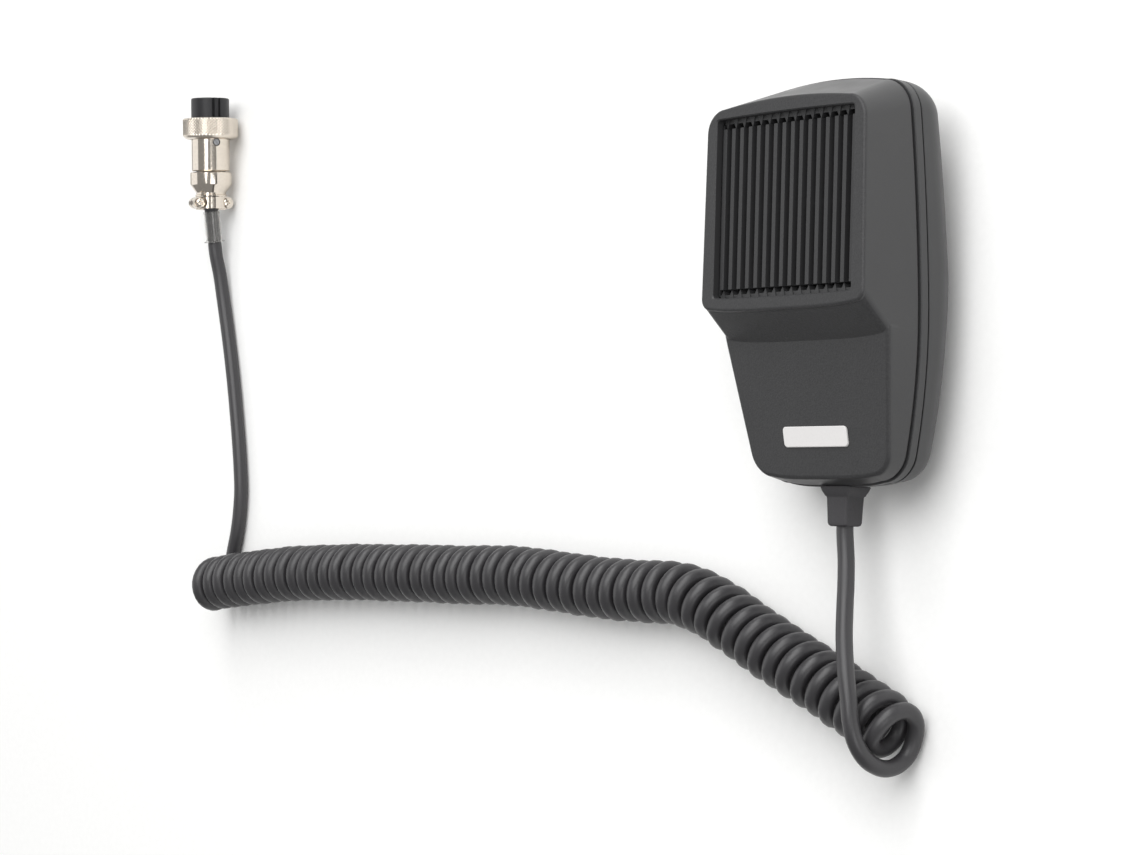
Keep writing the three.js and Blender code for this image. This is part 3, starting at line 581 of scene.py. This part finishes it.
class MicrophoneColours(bpy.types.PropertyGroup):
    front: bpy.props.FloatVectorProperty(
        name="Front", description="Sand-blasted plastic of the front shell", subtype="COLOR", size=4,
        default=tone("#363637"))
    sides: bpy.props.FloatVectorProperty(
        name="Rear", description="Satin plastic of the rear shell", subtype="COLOR", size=4,
        default=tone("#373738"))
    slats: bpy.props.FloatVectorProperty(
        name="Slats", description="Plastic of the grille's slats", subtype="COLOR", size=4,
        default=tone("#333334"))
    badge: bpy.props.FloatVectorProperty(
        name="Badge", description="Label plate", subtype="COLOR", size=4, default=tone("#DAD8D7"))
    cord: bpy.props.FloatVectorProperty(
        name="Cord", description="Jacket of the cord", subtype="COLOR", size=4, default=tone("#333234"))
    relief: bpy.props.FloatVectorProperty(
        name="Strain relief", description="Moulded strain relief", subtype="COLOR", size=4,
        default=tone("#3C3B3D"))
    nickel: bpy.props.FloatVectorProperty(
        name="Nickel", description="Plating of the plug and the hang-up button", subtype="COLOR", size=4,
        default=tone("#DDD4C8"))


class MicrophoneSizes(bpy.types.PropertyGroup):
    slat_count: bpy.props.IntProperty(
        name="Slats", description="Number of upright slats in the window", default=16, min=8, max=24)
    slat_width: bpy.props.FloatProperty(
        name="Slat width", description="Face of one slat", default=0.00135, unit="LENGTH")
    slat_recess: bpy.props.FloatProperty(
        name="Slat recess", description="How far the slats lie behind the face", default=0.0017,
        unit="LENGTH")
    cord_diameter: bpy.props.FloatProperty(
        name="Cord diameter", description="Diameter of the cord's jacket", default=0.0044, unit="LENGTH")
    coil_radius: bpy.props.FloatProperty(
        name="Coil radius", description="From the coil's axis to the middle of the cord", default=0.00645,
        unit="LENGTH")
    coil_turns: bpy.props.IntProperty(
        name="Turns", description="Full turns in the curly part", default=55, min=10, max=90)
    knurl_count: bpy.props.IntProperty(
        name="Knurls", description="Diamonds round the coupling nut", default=52, min=24, max=80)


# ------------------------------------------------------------------ operators


class MICROPHONE_OT_stage(bpy.types.Operator):
    """Camera, white paper floor and soft studio lights"""
    bl_idname = "microphone.stage"
    bl_label = "Stage"

    def execute(self, context):
        camera = bpy.data.cameras.new("studio_camera")
        camera.lens = 99.47
        camera.sensor_width = 36
        camera.clip_start = 0.05
        view = bpy.data.objects.new("studio_camera", camera)
        right = Vector((0.65008, 0.02773, -0.75936))
        up = Vector((0.01368, 0.99875, 0.04817))
        back = right.cross(up)
        view.matrix_world = Matrix.Translation(FLOOR @ Vector((560.23, -112.65, 583.8))) @ Matrix(
            (right, up, back)).transposed().to_4x4()
        context.scene.collection.objects.link(view)
        context.scene.camera = view

        bm = bmesh.new()
        bmesh.ops.create_grid(bm, x_segments=1, y_segments=1, size=4.0,
                              matrix=Matrix.Translation((0, 0, -0.0002)))
        paper = link("paper_floor", bm)
        paper.data.materials.append(MATERIALS["floor"])

        context.scene.view_settings.view_transform = "Standard"
        world = bpy.data.worlds.new("studio")
        context.scene.world = world
        world.use_nodes = True
        world.node_tree.nodes["Background"].inputs["Color"].default_value = tone("#FFFFFF")
        world.node_tree.nodes["Background"].inputs["Strength"].default_value = 0.3
        aim = Vector((-0.1, -0.03, 0.0))
        for name, spot, size, power in (
                ("main_softbox", (0.45, 0.75, 1.3), 1.6, 28),
                ("right_softbox", (1.5, -0.5, 0.8), 0.9, 6),
                ("far_softbox", (-1.5, 0.1, 0.95), 1.6, 7),
                ("back_softbox", (-0.1, 1.6, 0.75), 0.8, 9)):
            lamp = bpy.data.lights.new(name, "AREA")
            lamp.size = size
            lamp.energy = power
            holder = bpy.data.objects.new(name, lamp)
            holder.location = spot
            holder.rotation_euler = (Vector(spot) - aim).to_track_quat("Z", "Y").to_euler()
            context.scene.collection.objects.link(holder)
        return {"FINISHED"}


MIC_LEAD = (
    (0, -101, 13), (0, -103.5, 13), (0.2, -106, 13), (1, -111, 13.3), (2.2, -117, 14.4), (4, -124, 16.4),
    (6.2, -131, 18.6), (8.6, -139, 20.2), (10.2, -145.8, 20.6), (11, -151.5, 20.5), (11.8, -156.6, 19.2),
    (12.5, -160.6, 16), (13.2, -162.6, 11.5), (13.6, -162.3, 7.2), (14.3, -159.8, 3.6), (15.5, -155.6, 2.45),
    (17, -150.8, 3.6), (17.5, -148.2, 7.2), (16.9, -148.6, 11), (15.2, -151.2, 13.8),
)
COIL_AXIS = (
    (13.2, -152.6), (-1.3, -146.4), (-18, -139.4), (-38.7, -130.6), (-52, -124.6), (-65, -121.2),
    (-78, -121), (-104, -120), (-132, -118), (-162, -118.1), (-209, -118.4), (-242, -119.5),
    (-268, -121.6), (-289.6, -124),
)
PLUG_LEAD = (
    (-286.9, -113.5, 2.25), (-285.1, -107, 2.25), (-284, -100, 2.25), (-283.7, -93.3, 2.25),
    (-284.4, -86.8, 2.25), (-285.4, -80.3, 2.25), (-287.9, -67.3, 2.25), (-290.8, -54.2, 2.25),
    (-294.3, -41, 2.25), (-296.9, -30.5, 2.6), (-298.2, -22.5, 3.4), (-298.9, -16.5, 4.6),
)


def smooth_path(points, spacing):
    """Points every `spacing` along a centripetal curve through the given ones."""
    points = [Vector(p) for p in points]
    padded = [2 * points[0] - points[1]] + points + [2 * points[-1] - points[-2]]
    made = []
    for p0, p1, p2, p3 in zip(padded, padded[1:], padded[2:], padded[3:]):
        knots = [0.0]
        for a, b in ((p0, p1), (p1, p2), (p2, p3)):
            knots.append(knots[-1] + max(1e-6, (b - a).length) ** 0.5)
        t0, t1, t2, t3 = knots
        steps = max(1, round((p2 - p1).length / spacing))
        for i in range(steps):
            t = t1 + (t2 - t1) * i / steps
            a1 = p0.lerp(p1, (t - t0) / (t1 - t0))
            a2 = p1.lerp(p2, (t - t1) / (t2 - t1))
            a3 = p2.lerp(p3, (t - t2) / (t3 - t2))
            b1 = a1.lerp(a2, (t - t0) / (t2 - t0))
            b2 = a2.lerp(a3, (t - t1) / (t3 - t1))
            made.append(b1.lerp(b2, (t - t1) / (t2 - t1)))
    return made + [points[-1]]


def coil_path(radius, turns):
    """The curly part, from its microphone end: over the top first, and towards the plug."""
    axis = smooth_path([(u, v, 8.65) for u, v in COIL_AXIS], 0.5)
    travelled = [0.0]
    for a, b in zip(axis, axis[1:]):
        travelled.append(travelled[-1] + (b - a).length)
    start, sweep = math.radians(125), math.radians(360 * (turns - 1) + 140)
    steps = 28 * turns
    made, at = [], 0
    for i in range(steps + 1):
        t = i / steps
        distance = travelled[-1] * t
        while at < len(axis) - 2 and travelled[at + 1] < distance:
            at += 1
        span = (distance - travelled[at]) / (travelled[at + 1] - travelled[at])
        middle = axis[at].lerp(axis[at + 1], span)
        ahead = (axis[min(at + 6, len(axis) - 1)] - axis[max(at - 6, 0)]).normalized()
        across = Vector((ahead.y, -ahead.x, 0))
        angle = start + sweep * t
        here = radius * (1 + 0.012 * math.sin(angle * 0.37) + 0.01 * math.sin(angle * 0.83 + 1))
        middle = Vector((middle.x, middle.y, here + 2.2))
        made.append(middle + here * (math.cos(angle) * across + math.sin(angle) * Vector((0, 0, 1))))
    return made


class MICROPHONE_OT_cord(bpy.types.Operator):
    """One cord: out of the case, through the curly part and into the plug"""
    bl_idname = "microphone.cord"
    bl_label = "Curly cord"

    def execute(self, context):
        sizes = context.scene.microphone_sizes
        radius = sizes.coil_radius / MM
        coil = coil_path(radius, sizes.coil_turns)
        plug_end = [FLOOR.inverted() @ (PLUG @ TUBE_LEAN @ Vector((0, 0, z))) for z in (46.5, 41.3, 36.6)]
        plug_end.append(FLOOR.inverted() @ (PLUG @ Vector((0, 0, 32.0))))
        lead = smooth_path([*MIC_LEAD, coil[0], coil[4]], 1.2)[:-4]
        tail = smooth_path([coil[-5], coil[-1], *PLUG_LEAD, *plug_end], 1.2)
        skip = next(i for i, p in enumerate(tail) if (p - coil[-1]).length < 0.7) + 1
        first = next(i for i, p in enumerate(lead) if (p - coil[0]).length < 0.7)
        points = lead[:first] + coil + tail[skip:]
        for point in points:
            point.z = max(point.z, sizes.cord_diameter / 2 / MM)        # nowhere through the floor
        points = [FLOOR @ point for point in points]
        curve = bpy.data.curves.new("curly_cord", "CURVE")
        curve.dimensions = "3D"
        curve.bevel_depth = sizes.cord_diameter / 2
        curve.bevel_resolution = 5
        curve.use_fill_caps = True
        spline = curve.splines.new("POLY")
        spline.points.add(len(points) - 1)
        for knot, point in zip(spline.points, points):
            knot.co = (*point, 1)
        spline.use_smooth = True
        curve.materials.append(MATERIALS["jacket"])
        cord = bpy.data.objects.new("curly_cord", curve)
        context.scene.collection.objects.link(cord)
        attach(cord, "case")
        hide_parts("mic_lead", "cord_coil", "plug_lead")
        length = sum((b - a).length for a, b in zip(points, points[1:]))
        return {"FINISHED"}


class MICROPHONE_OT_front_shell(bpy.types.Operator):
    """Front half of the case: raised window, sloping lower face, groove and proud rim"""
    bl_idname = "microphone.front_shell"
    bl_label = "Front shell"

    def execute(self, context):
        shell = carve(raised_form(), "UNION", lower_form(), rim_form())
        hollow = carve(raised_form(WALL), "UNION", lower_form(WALL))
        well = loft([on_plane(outline(**RIM, inset=SHELL_INSIDE), level, RIM_SLOPE)
                     for level in (RIM_LEVEL + 1.2, -26)])
        carve(shell, "DIFFERENCE", hollow, well, window_cut(), talk_opening(), relief_hole())
        place(shell, "front_shell_moulding", CASE, "case", "shell", ["front_shell"], sharp=32,
              upright="satin")
        return {"FINISHED"}


class MICROPHONE_OT_rear_shell(bpy.types.Operator):
    """Rear half of the case, round to its flat back, with sunk screw holes"""
    bl_idname = "microphone.rear_shell"
    bl_label = "Rear shell"

    def execute(self, context):
        top = RIM_LEVEL - RIM_HEIGHT - 0.45
        rings = [on_plane(outline(**RIM, inset=SHELL_INSIDE), top, RIM_SLOPE)]
        for inset, drop in fillet(0.25, 3):
            rings.append(on_plane(outline(**RIM, inset=inset - 0.35), top - drop, RIM_SLOPE))
        shell = loft(rings + list(back_rings(12, proud=0.25)))
        hollow = loft([on_plane(outline(**RIM, inset=SHELL_INSIDE), top + 1, RIM_SLOPE),
                       *back_rings(4, inset=SHELL_INSIDE)])
        seats = [bar(SEAT_RADIUS, (u, v, -45), (u, v, seat_at(v))) for u, v in CASE_SCREWS]
        carve(shell, "DIFFERENCE", hollow, relief_hole(), bar(1.9, (0, -18, -45), (0, -18, -20)), *seats)
        bosses = []
        for u, v in CASE_SCREWS:
            low, high = seat_at(v), rim_above(v) - 3
            bosses.append(lathe([(1.6, low), (4.0, low), (4.0, high), (1.6, high), (1.6, low)], 28))
            bosses[-1].data.transform(Matrix.Translation((u, v, 0)))
        boss = joined("blank", bosses)
        shell = joined("blank", [shell, boss])
        place(shell, "rear_shell_moulding", CASE, "case", "satin", ["rear_shell"], sharp=32)
        return {"FINISHED"}


class MICROPHONE_OT_grille(bpy.types.Operator):
    """Insert behind the window: upright slats, and wedges from its frame to their ends"""
    bl_idname = "microphone.grille"
    bl_label = "Grille"

    def execute(self, context):
        sizes = context.scene.microphone_sizes
        width, recess = sizes.slat_width / MM, sizes.slat_recess / MM
        pitch = 2 * WINDOW_HALF / sizes.slat_count
        pieces = []
        for i in range(sizes.slat_count):
            u = -WINDOW_HALF + (i + 0.5) * pitch
            pieces.append(block((u - width / 2, 2.2 - WINDOW_HEIGHT, -recess - 3.0),
                                (u + width / 2, -2.2, -recess), 0.14, 2))
            for edge, way in ((0.35, -1), (-WINDOW_HEIGHT - 0.25, 1)):
                # A wedge slopes down from the frame to the slat's end, pointed towards it.
                wide, tip = 1.0, edge + way * 2.7
                foot = [(u - wide, edge), (u + wide, edge), (u, tip)]
                ridge = [(x, y, -recess - (0.5 if y == edge else 0.9)) for x, y in foot]
                pieces.append(loft([ridge, [(x, y, -recess - 3.0) for x, y in foot]]))
        edge = outline(top=0.1, bottom=-45, crown=0.6, sag=0.8, top_corner=3.8, bottom_corner=1.6,
                       half_at=lambda v: WINDOW_HALF + 1, corner=5, side=4)
        ledge = loft([on_plane(edge, -2.5), on_plane(edge, -4.4)])
        carve(ledge, "DIFFERENCE",
              block((-WINDOW_HALF + 0.2, -WINDOW_HEIGHT + 0.9, -6), (WINDOW_HALF - 0.2, -0.9, 0)))
        tie = block((-WINDOW_HALF, -WINDOW_HEIGHT / 2 - 0.8, -4.5),
                    (WINDOW_HALF, -WINDOW_HEIGHT / 2 + 0.8, -3.6))
        insert = joined("blank", [*pieces, ledge, tie])
        place(insert, "grille_slats", CASE, "case", "slats", ["grille_insert"], sharp=30)
        finish_node("grille_cloth", "cloth")
        return {"FINISHED"}


class MICROPHONE_OT_badge(bpy.types.Operator):
    """Plain white label plate with rounded corners and an eased edge"""
    bl_idname = "microphone.badge"
    bl_label = "Badge"

    def execute(self, context):
        rings = []
        for inset, drop in fillet(0.25, 4):
            shape = outline(top=-77.7, bottom=-82.9, half_at=lambda v: 11.2, top_corner=1.1,
                            bottom_corner=1.1, inset=inset, ends=2, corner=8, side=2)
            rings.append(on_plane(shape, LOWER_LEVEL + 0.55 - drop, LOWER_SLOPE))
        rings.append(on_plane(shape, LOWER_LEVEL - 0.05, LOWER_SLOPE))
        place(loft(rings), "badge_label", CASE, "case", "badge", ["badge_plate"], sharp=40)
        return {"FINISHED"}


class MICROPHONE_OT_talk_bar(bpy.types.Operator):
    """Talk bar in the left side, ribbed for the thumb, with its arm and knuckle"""
    bl_idname = "microphone.talk_bar"
    bl_label = "Talk bar"

    def execute(self, context):
        def upright(u, inset):
            shape = outline(top=-2.9, bottom=-42.95, half_at=lambda v: 4.6, top_corner=1.2, bottom_corner=1.2,
                            inset=inset, ends=2, corner=6, side=2)
            return [(u, v, -10.5 + a) for a, v in shape]
        rings = [upright(-32.6 + drop * 1.2, inset) for inset, drop in fillet(1.5, 6)]
        cap = loft(rings + [upright(-25.1, 0)])
        ribs = [block((-33, v - 0.35, -13.6), (-31.8, v + 0.35, -7.4), 0.2, 2)
                for v in [-12 - 2.2 * i for i in range(12)]]
        plate = block((-25.2, -46, -16.4), (-23.8, -1, -5.8), 0.2)
        arm = block((-25, -3.2, -16.4), (-21.4, 0.6, -10), 0.1)
        knuckle = lathe([(1.3, -16.4), (2.2, -16.4), (2.2, -10), (1.3, -10), (1.3, -16.4)], 32)
        knuckle.data.transform(Matrix.Translation((-21.4, 0.6, 0)))
        made = joined("blank", [cap, *ribs, plate, arm, knuckle])
        place(made, "talk_bar_moulding", CASE, "talk_bar", "satin", ["ptt_bar"], sharp=35)
        return {"FINISHED"}


def cross_screw(radius, height, shank, length, steps=32):
    """A screw from its head down along -Z, with a domed head and a cross recess."""
    dome = [(0, 0)] + [(radius * math.sin(a), -height * 0.5 * (1 - math.cos(a)))
                       for a in [math.pi / 2 * i / 6 for i in range(1, 7)]]
    body = lathe(dome + [(radius, -height), (shank, -height), (shank, -length), (0, -length)], steps)
    depth = min(height * 0.9, 1.0)
    arms = [block((-a, -b, -depth), (a, b, 1)) for a, b in
            ((radius * 0.55, radius * 0.13), (radius * 0.13, radius * 0.55))]
    return carve(body, "DIFFERENCE", *arms)


class MICROPHONE_OT_back_fittings(bpy.types.Operator):
    """Hang-up button on the back and the cross-headed screws that close the case"""
    bl_idname = "microphone.back_fittings"
    bl_label = "Back fittings"

    def execute(self, context):
        end, radius = 5.0, 7.0
        rim = [(radius - 0.5 + 0.5 * math.sin(a), end - 0.5 + 0.5 * math.cos(a))
               for a in [math.pi / 2 * i / 5 for i in range(6)]]
        under = [(radius - 0.4 + 0.4 * math.cos(a), end - 1.6 - 0.4 * math.sin(a))
                 for a in [math.pi / 2 * i / 4 for i in range(5)]]
        button = lathe([(1.7, GAP), (1.7, end - 1.9), (3.2, end - 1.9), (3.2, end - 0.2), (3.4, end), *rim,
                        *under, (3.9, end - 2), (3.6, end - 2.3), (3.6, GAP), (1.7, GAP)], 64)
        place(button, "hang_up_button", BUTTON, "case", "nickel", ["hang_button"], sharp=40)
        holder = cross_screw(2.8, 1.4, 1.3, 9)
        holder.data.transform(Matrix.Translation((0, 0, end - 0.2)))
        place(holder, "hang_up_screw", BUTTON, "case", "steel", ["hang_button_screw"])
        for i, (u, v) in enumerate(CASE_SCREWS):
            made = cross_screw(2.7, 1.5, 1.3, 12)
            made.data.transform(Matrix.Translation((u, v, seat_at(v) - HEAD_ABOVE_SEAT))
                                @ Matrix.Rotation(math.pi, 4, "X")
                                @ Matrix.Rotation(0.5 * i, 4, "Z"))
            place(made, f"case_cross_screw_{i + 1}", CASE, "case", "steel", [f"case_screw_{i + 1}"])
        return {"FINISHED"}


class MICROPHONE_OT_strain_relief(bpy.types.Operator):
    """Strain relief: flared collar against the case, then a tapering square block"""
    bl_idname = "microphone.strain_relief"
    bl_label = "Strain relief"

    def execute(self, context):
        def section(v, half_u, half_w, corner):
            shape = outline(top=half_w, bottom=-half_w, half_at=lambda _: half_u, top_corner=corner,
                            bottom_corner=corner, ends=2, corner=6, side=2)
            return [(a, v, -25 + b) for a, b in shape]
        rings = [section(v, u, w, c) for v, u, w, c in (
            (-87, 3.55, 3.3, 0.8), (-92.4, 3.55, 3.3, 0.8), (-92.4, 4.9, 4.6, 1.2), (-92.7, 5.0, 4.7, 1.3),
            (-93.6, 4.7, 4.4, 1.2), (-94.8, 4.0, 3.75, 0.9), (-95.0, 3.75, 3.45, 0.7), (-95.4, 3.6, 3.3, 0.6),
            (-101.6, 3.35, 3.1, 0.6), (-102.2, 3.2, 2.95, 0.7), (-102.5, 2.8, 2.6, 0.9))]
        relief = loft(rings)
        carve(relief, "DIFFERENCE", bar(2.3, (0, -99, -25), (0, -104, -25)))
        place(relief, "cord_relief", CASE, "case", "relief", ["strain_relief"], sharp=30)
        return {"FINISHED"}


class MICROPHONE_OT_plug(bpy.types.Operator):
    """Screw-on plug: insulator, knurled nut, barrel, back shell with its cord clamp, and clear tube"""
    bl_idname = "microphone.plug"
    bl_label = "Plug"

    def execute(self, context):
        self.front()
        self.knurled_nut(context.scene.microphone_sizes.knurl_count)
        self.body()
        self.clamp()
        return {"FINISHED"}

    def front(self):
        """The black insulator with its keyways and socket holes, and the brass contacts in it."""
        edge = [(5.7 + 0.5 * math.sin(a), 0.5 - 0.5 * math.cos(a))
                for a in [math.pi / 2 * i / 5 for i in range(6)]]
        core = lathe([(0, 0), *edge, (6.2, 8.2), (5.1, 8.2), (5.1, 17), (0, 17)], 64)
        holes = []
        for i in range(4):
            a = math.radians(45 + 90 * i)
            x, y = 3.1 * math.cos(a), 3.1 * math.sin(a)
            holes.append(bar(1.35, (x, y, -1), (x, y, 18), 24))
            finish_node(f"plug_contact_{i + 1}", "brass")
        keys = [block((5.1, -1.45 + shift, -1), (7, -0.55 + shift, 6.9)) for shift in (0, 2.0)]
        carve(core, "DIFFERENCE", *holes, *keys)
        place(core, "plug_insulator", PLUG, "case", "insulator", ["plug_insert"], sharp=35)

    def knurled_nut(self, count):
        """A band of diamond points between two plain edges, open at the front for the thread."""
        low, high, cut = 7.2, 12.0, 0.3
        rows, columns = 20, 4 * count
        step = (high - low) / rows
        band = [(9.0, low + step * i) for i in range(rows + 1)]
        nut = lathe([(7.8, 6.6), (8.5, 6.6), (8.85, 6.85), *band, (8.85, 12.4), (8.3, 13.0), (7.4, 13.4),
                     (6.55, 13.4), (6.55, 11.4), (7.8, 11.4), (7.8, 6.6)], columns)
        for vert in nut.data.vertices:
            radius = math.hypot(vert.co.x, vert.co.y)
            if abs(radius - 9.0) > 0.02:
                continue
            turn = round(math.atan2(vert.co.y, vert.co.x) / (2 * math.pi) * columns)
            row = round((vert.co.z - low) / step)
            # Two sets of grooves cross, and leave a diamond point between each four crossings.
            groove = max(abs((turn + row) % 4 - 2), abs((turn - row) % 4 - 2)) / 2
            scale = (9.0 - cut * groove) / radius
            vert.co.x *= scale
            vert.co.y *= scale
        place(nut, "knurled_nut", PLUG, "coupling_nut", "knurl", ["plug_coupling_nut"], sharp=3)

    def body(self):
        """Barrel with its grub screw; the stepped back shell is made in clamp."""
        barrel = lathe([(5.45, 8.6), (6.25, 8.6), (6.25, 9.7), (7.4, 9.7), (7.4, 11.1), (6.25, 11.1), (6.25, 23.5),
                        (6.0, 23.8), (4.9, 23.8), (4.9, 17.4), (5.45, 17.4), (5.45, 8.6)], 72)
        carve(barrel, "DIFFERENCE", bar(1.25, (4, 0, 14.5), (9, 0, 14.5), 24))
        place(barrel, "plug_sleeve_barrel", PLUG, "case", "nickel", ["plug_barrel"], sharp=35)
        grub = lathe([(0, 0), (0.9, 0), (1.05, -0.15), (1.05, -0.9), (0, -0.9)], 24)
        carve(grub, "DIFFERENCE", block((-2, -0.16, -0.45), (2, 0.16, 1)))
        grub.data.transform(Matrix.Translation((6.15, 0, 14.5)) @ Matrix.Rotation(math.pi / 2, 4, "Y")
                            @ Matrix.Rotation(0.7, 4, "Z"))
        place(grub, "grub_screw", PLUG, "case", "steel", ["plug_set_screw"])

    def clamp(self):
        """Back shell ending in half a collar, the saddle that closes it, its screws and the clear tube."""
        shell = lathe([(5.2, 24.1), (6.5, 24.1), (6.8, 24.4), (6.8, 28.0), (6.6, 28.4), (4.9, 30.8), (4.9, 31.3),
                       (5.15, 31.5), (5.15, 36.1), (4.95, 36.3), (2.6, 36.3), (2.6, 30.8), (5.2, 28.4),
                       (5.2, 24.1)], 72)
        carve(shell, "DIFFERENCE", block((0, -10, 31.9), (10, 10, 38)))
        middle = 34.1
        ears = self.strap(-2.4, -0.15, middle)
        carve(ears, "DIFFERENCE", bar(4.2, (0, 0, 30), (0, 0, 40)))
        shell = joined("blank", [shell, ears])
        place(shell, "plug_back_shell", PLUG, "case", "nickel", ["plug_rear_shell"], sharp=30)
        arch = carve(bar(5.15, (0, 0, 32.2), (0, 0, 36.0), 64), "INTERSECT",
                     block((0.3, -10, 30), (10, 10, 40)))
        saddle = carve(arch, "UNION", self.strap(0.3, 2.2, middle))
        seats = [bar(1.8, (2.2, y, middle), (9, y, middle), 28) for y in (4.5, -4.5)]
        carve(saddle, "DIFFERENCE", bar(2.6, (0, 0, 30), (0, 0, 40), 48), *seats)
        place(saddle, "clamp_saddle", PLUG, "case", "nickel", ["plug_clamp_saddle"], sharp=30, soften=0.12)
        for i, y in enumerate((4.5, -4.5)):
            screw = cross_screw(1.55, 1.2, 0.85, 6.6)
            screw.data.transform(Matrix.Translation((3.75, y, middle)) @ Matrix.Rotation(math.pi / 2, 4, "Y")
                                 @ Matrix.Rotation(0.4 + i, 4, "Z"))
            place(screw, f"clamp_cross_screw_{i + 1}", PLUG, "case", "nickel", [f"plug_clamp_screw_{i + 1}"])
        tube = lathe([(2.3, 0.3), (2.62, 0.3), (2.62, 9.6), (2.75, 9.9), (3.35, 10.1), (3.35, 10.3),
                      (2.6, 10.4), (2.3, 10.0), (2.3, 0.3)], 40)
        tube.data.transform(TUBE_LEAN @ Matrix.Translation((0, 0, 36.6)))
        place(tube, "clear_tube", PLUG, "case", "clear", ["cord_sleeve"], sharp=50)

    def strap(self, low, high, middle):
        """A flat strap with round ends, across the plug."""
        ends = [bar(1.9, (low, y, middle), (high, y, middle)) for y in (5.0, -5.0)]
        return carve(block((low, -5.0, 32.2), (high, 5.0, 36.0)), "UNION", *ends)


class MICROPHONE_OT_inside(bpy.types.Operator):
    """Finishes of the pieces inside the case"""
    bl_idname = "microphone.inside"
    bl_label = "Inside"

    def execute(self, context):
        for finish, nodes in (
                ("can", ["mic_cartridge"]), ("rubber", ["cartridge_boot"]),
                ("steel", ["ptt_pivot_pin", "switch_screw_1", "switch_screw_2", "cord_clamp",
                           "cord_clamp_screw_1", "cord_clamp_screw_2"]),
                ("insulator", ["switch_body"]), ("acetal", ["switch_plunger"]), ("jacket", ["cord_tail"]),
                ("red", ["inner_wire_red"]), ("white", ["inner_wire_white"]), ("yellow", ["inner_wire_yellow"])):
            for node in nodes:
                finish_node(node, finish)
        return {"FINISHED"}


class MICROPHONE_PT_panel(bpy.types.Panel):
    """Sizes, colours and buttons for the microphone"""
    bl_label = "Hand microphone"
    bl_idname = "MICROPHONE_PT_panel"
    bl_space_type = "VIEW_3D"
    bl_region_type = "UI"
    bl_category = "Microphone"

    def draw(self, context):
        for settings in (context.scene.microphone_sizes, context.scene.microphone_colours):
            for key in settings.__annotations__:
                self.layout.prop(settings, key)
        for operator in OPERATORS:
            self.layout.operator(operator.bl_idname)


OPERATORS = (
    MICROPHONE_OT_stage, MICROPHONE_OT_front_shell, MICROPHONE_OT_rear_shell, MICROPHONE_OT_grille,
    MICROPHONE_OT_badge, MICROPHONE_OT_talk_bar, MICROPHONE_OT_back_fittings, MICROPHONE_OT_strain_relief,
    MICROPHONE_OT_plug, MICROPHONE_OT_cord, MICROPHONE_OT_inside,
)
CLASSES = (MicrophoneColours, MicrophoneSizes, *OPERATORS, MICROPHONE_PT_panel)


def register():
    for cls in CLASSES:
        bpy.utils.register_class(cls)
    bpy.types.Scene.microphone_colours = bpy.props.PointerProperty(type=MicrophoneColours)
    bpy.types.Scene.microphone_sizes = bpy.props.PointerProperty(type=MicrophoneSizes)


def unregister():
    del bpy.types.Scene.microphone_sizes
    del bpy.types.Scene.microphone_colours
    for cls in reversed(CLASSES):
        bpy.utils.unregister_class(cls)


def main():
    register()
    load_materials(bpy.context.scene.microphone_colours)
    for operator in OPERATORS:
        group, name = operator.bl_idname.split(".")
        getattr(getattr(bpy.ops, group), name)()


if __name__ == "__main__":
    main()
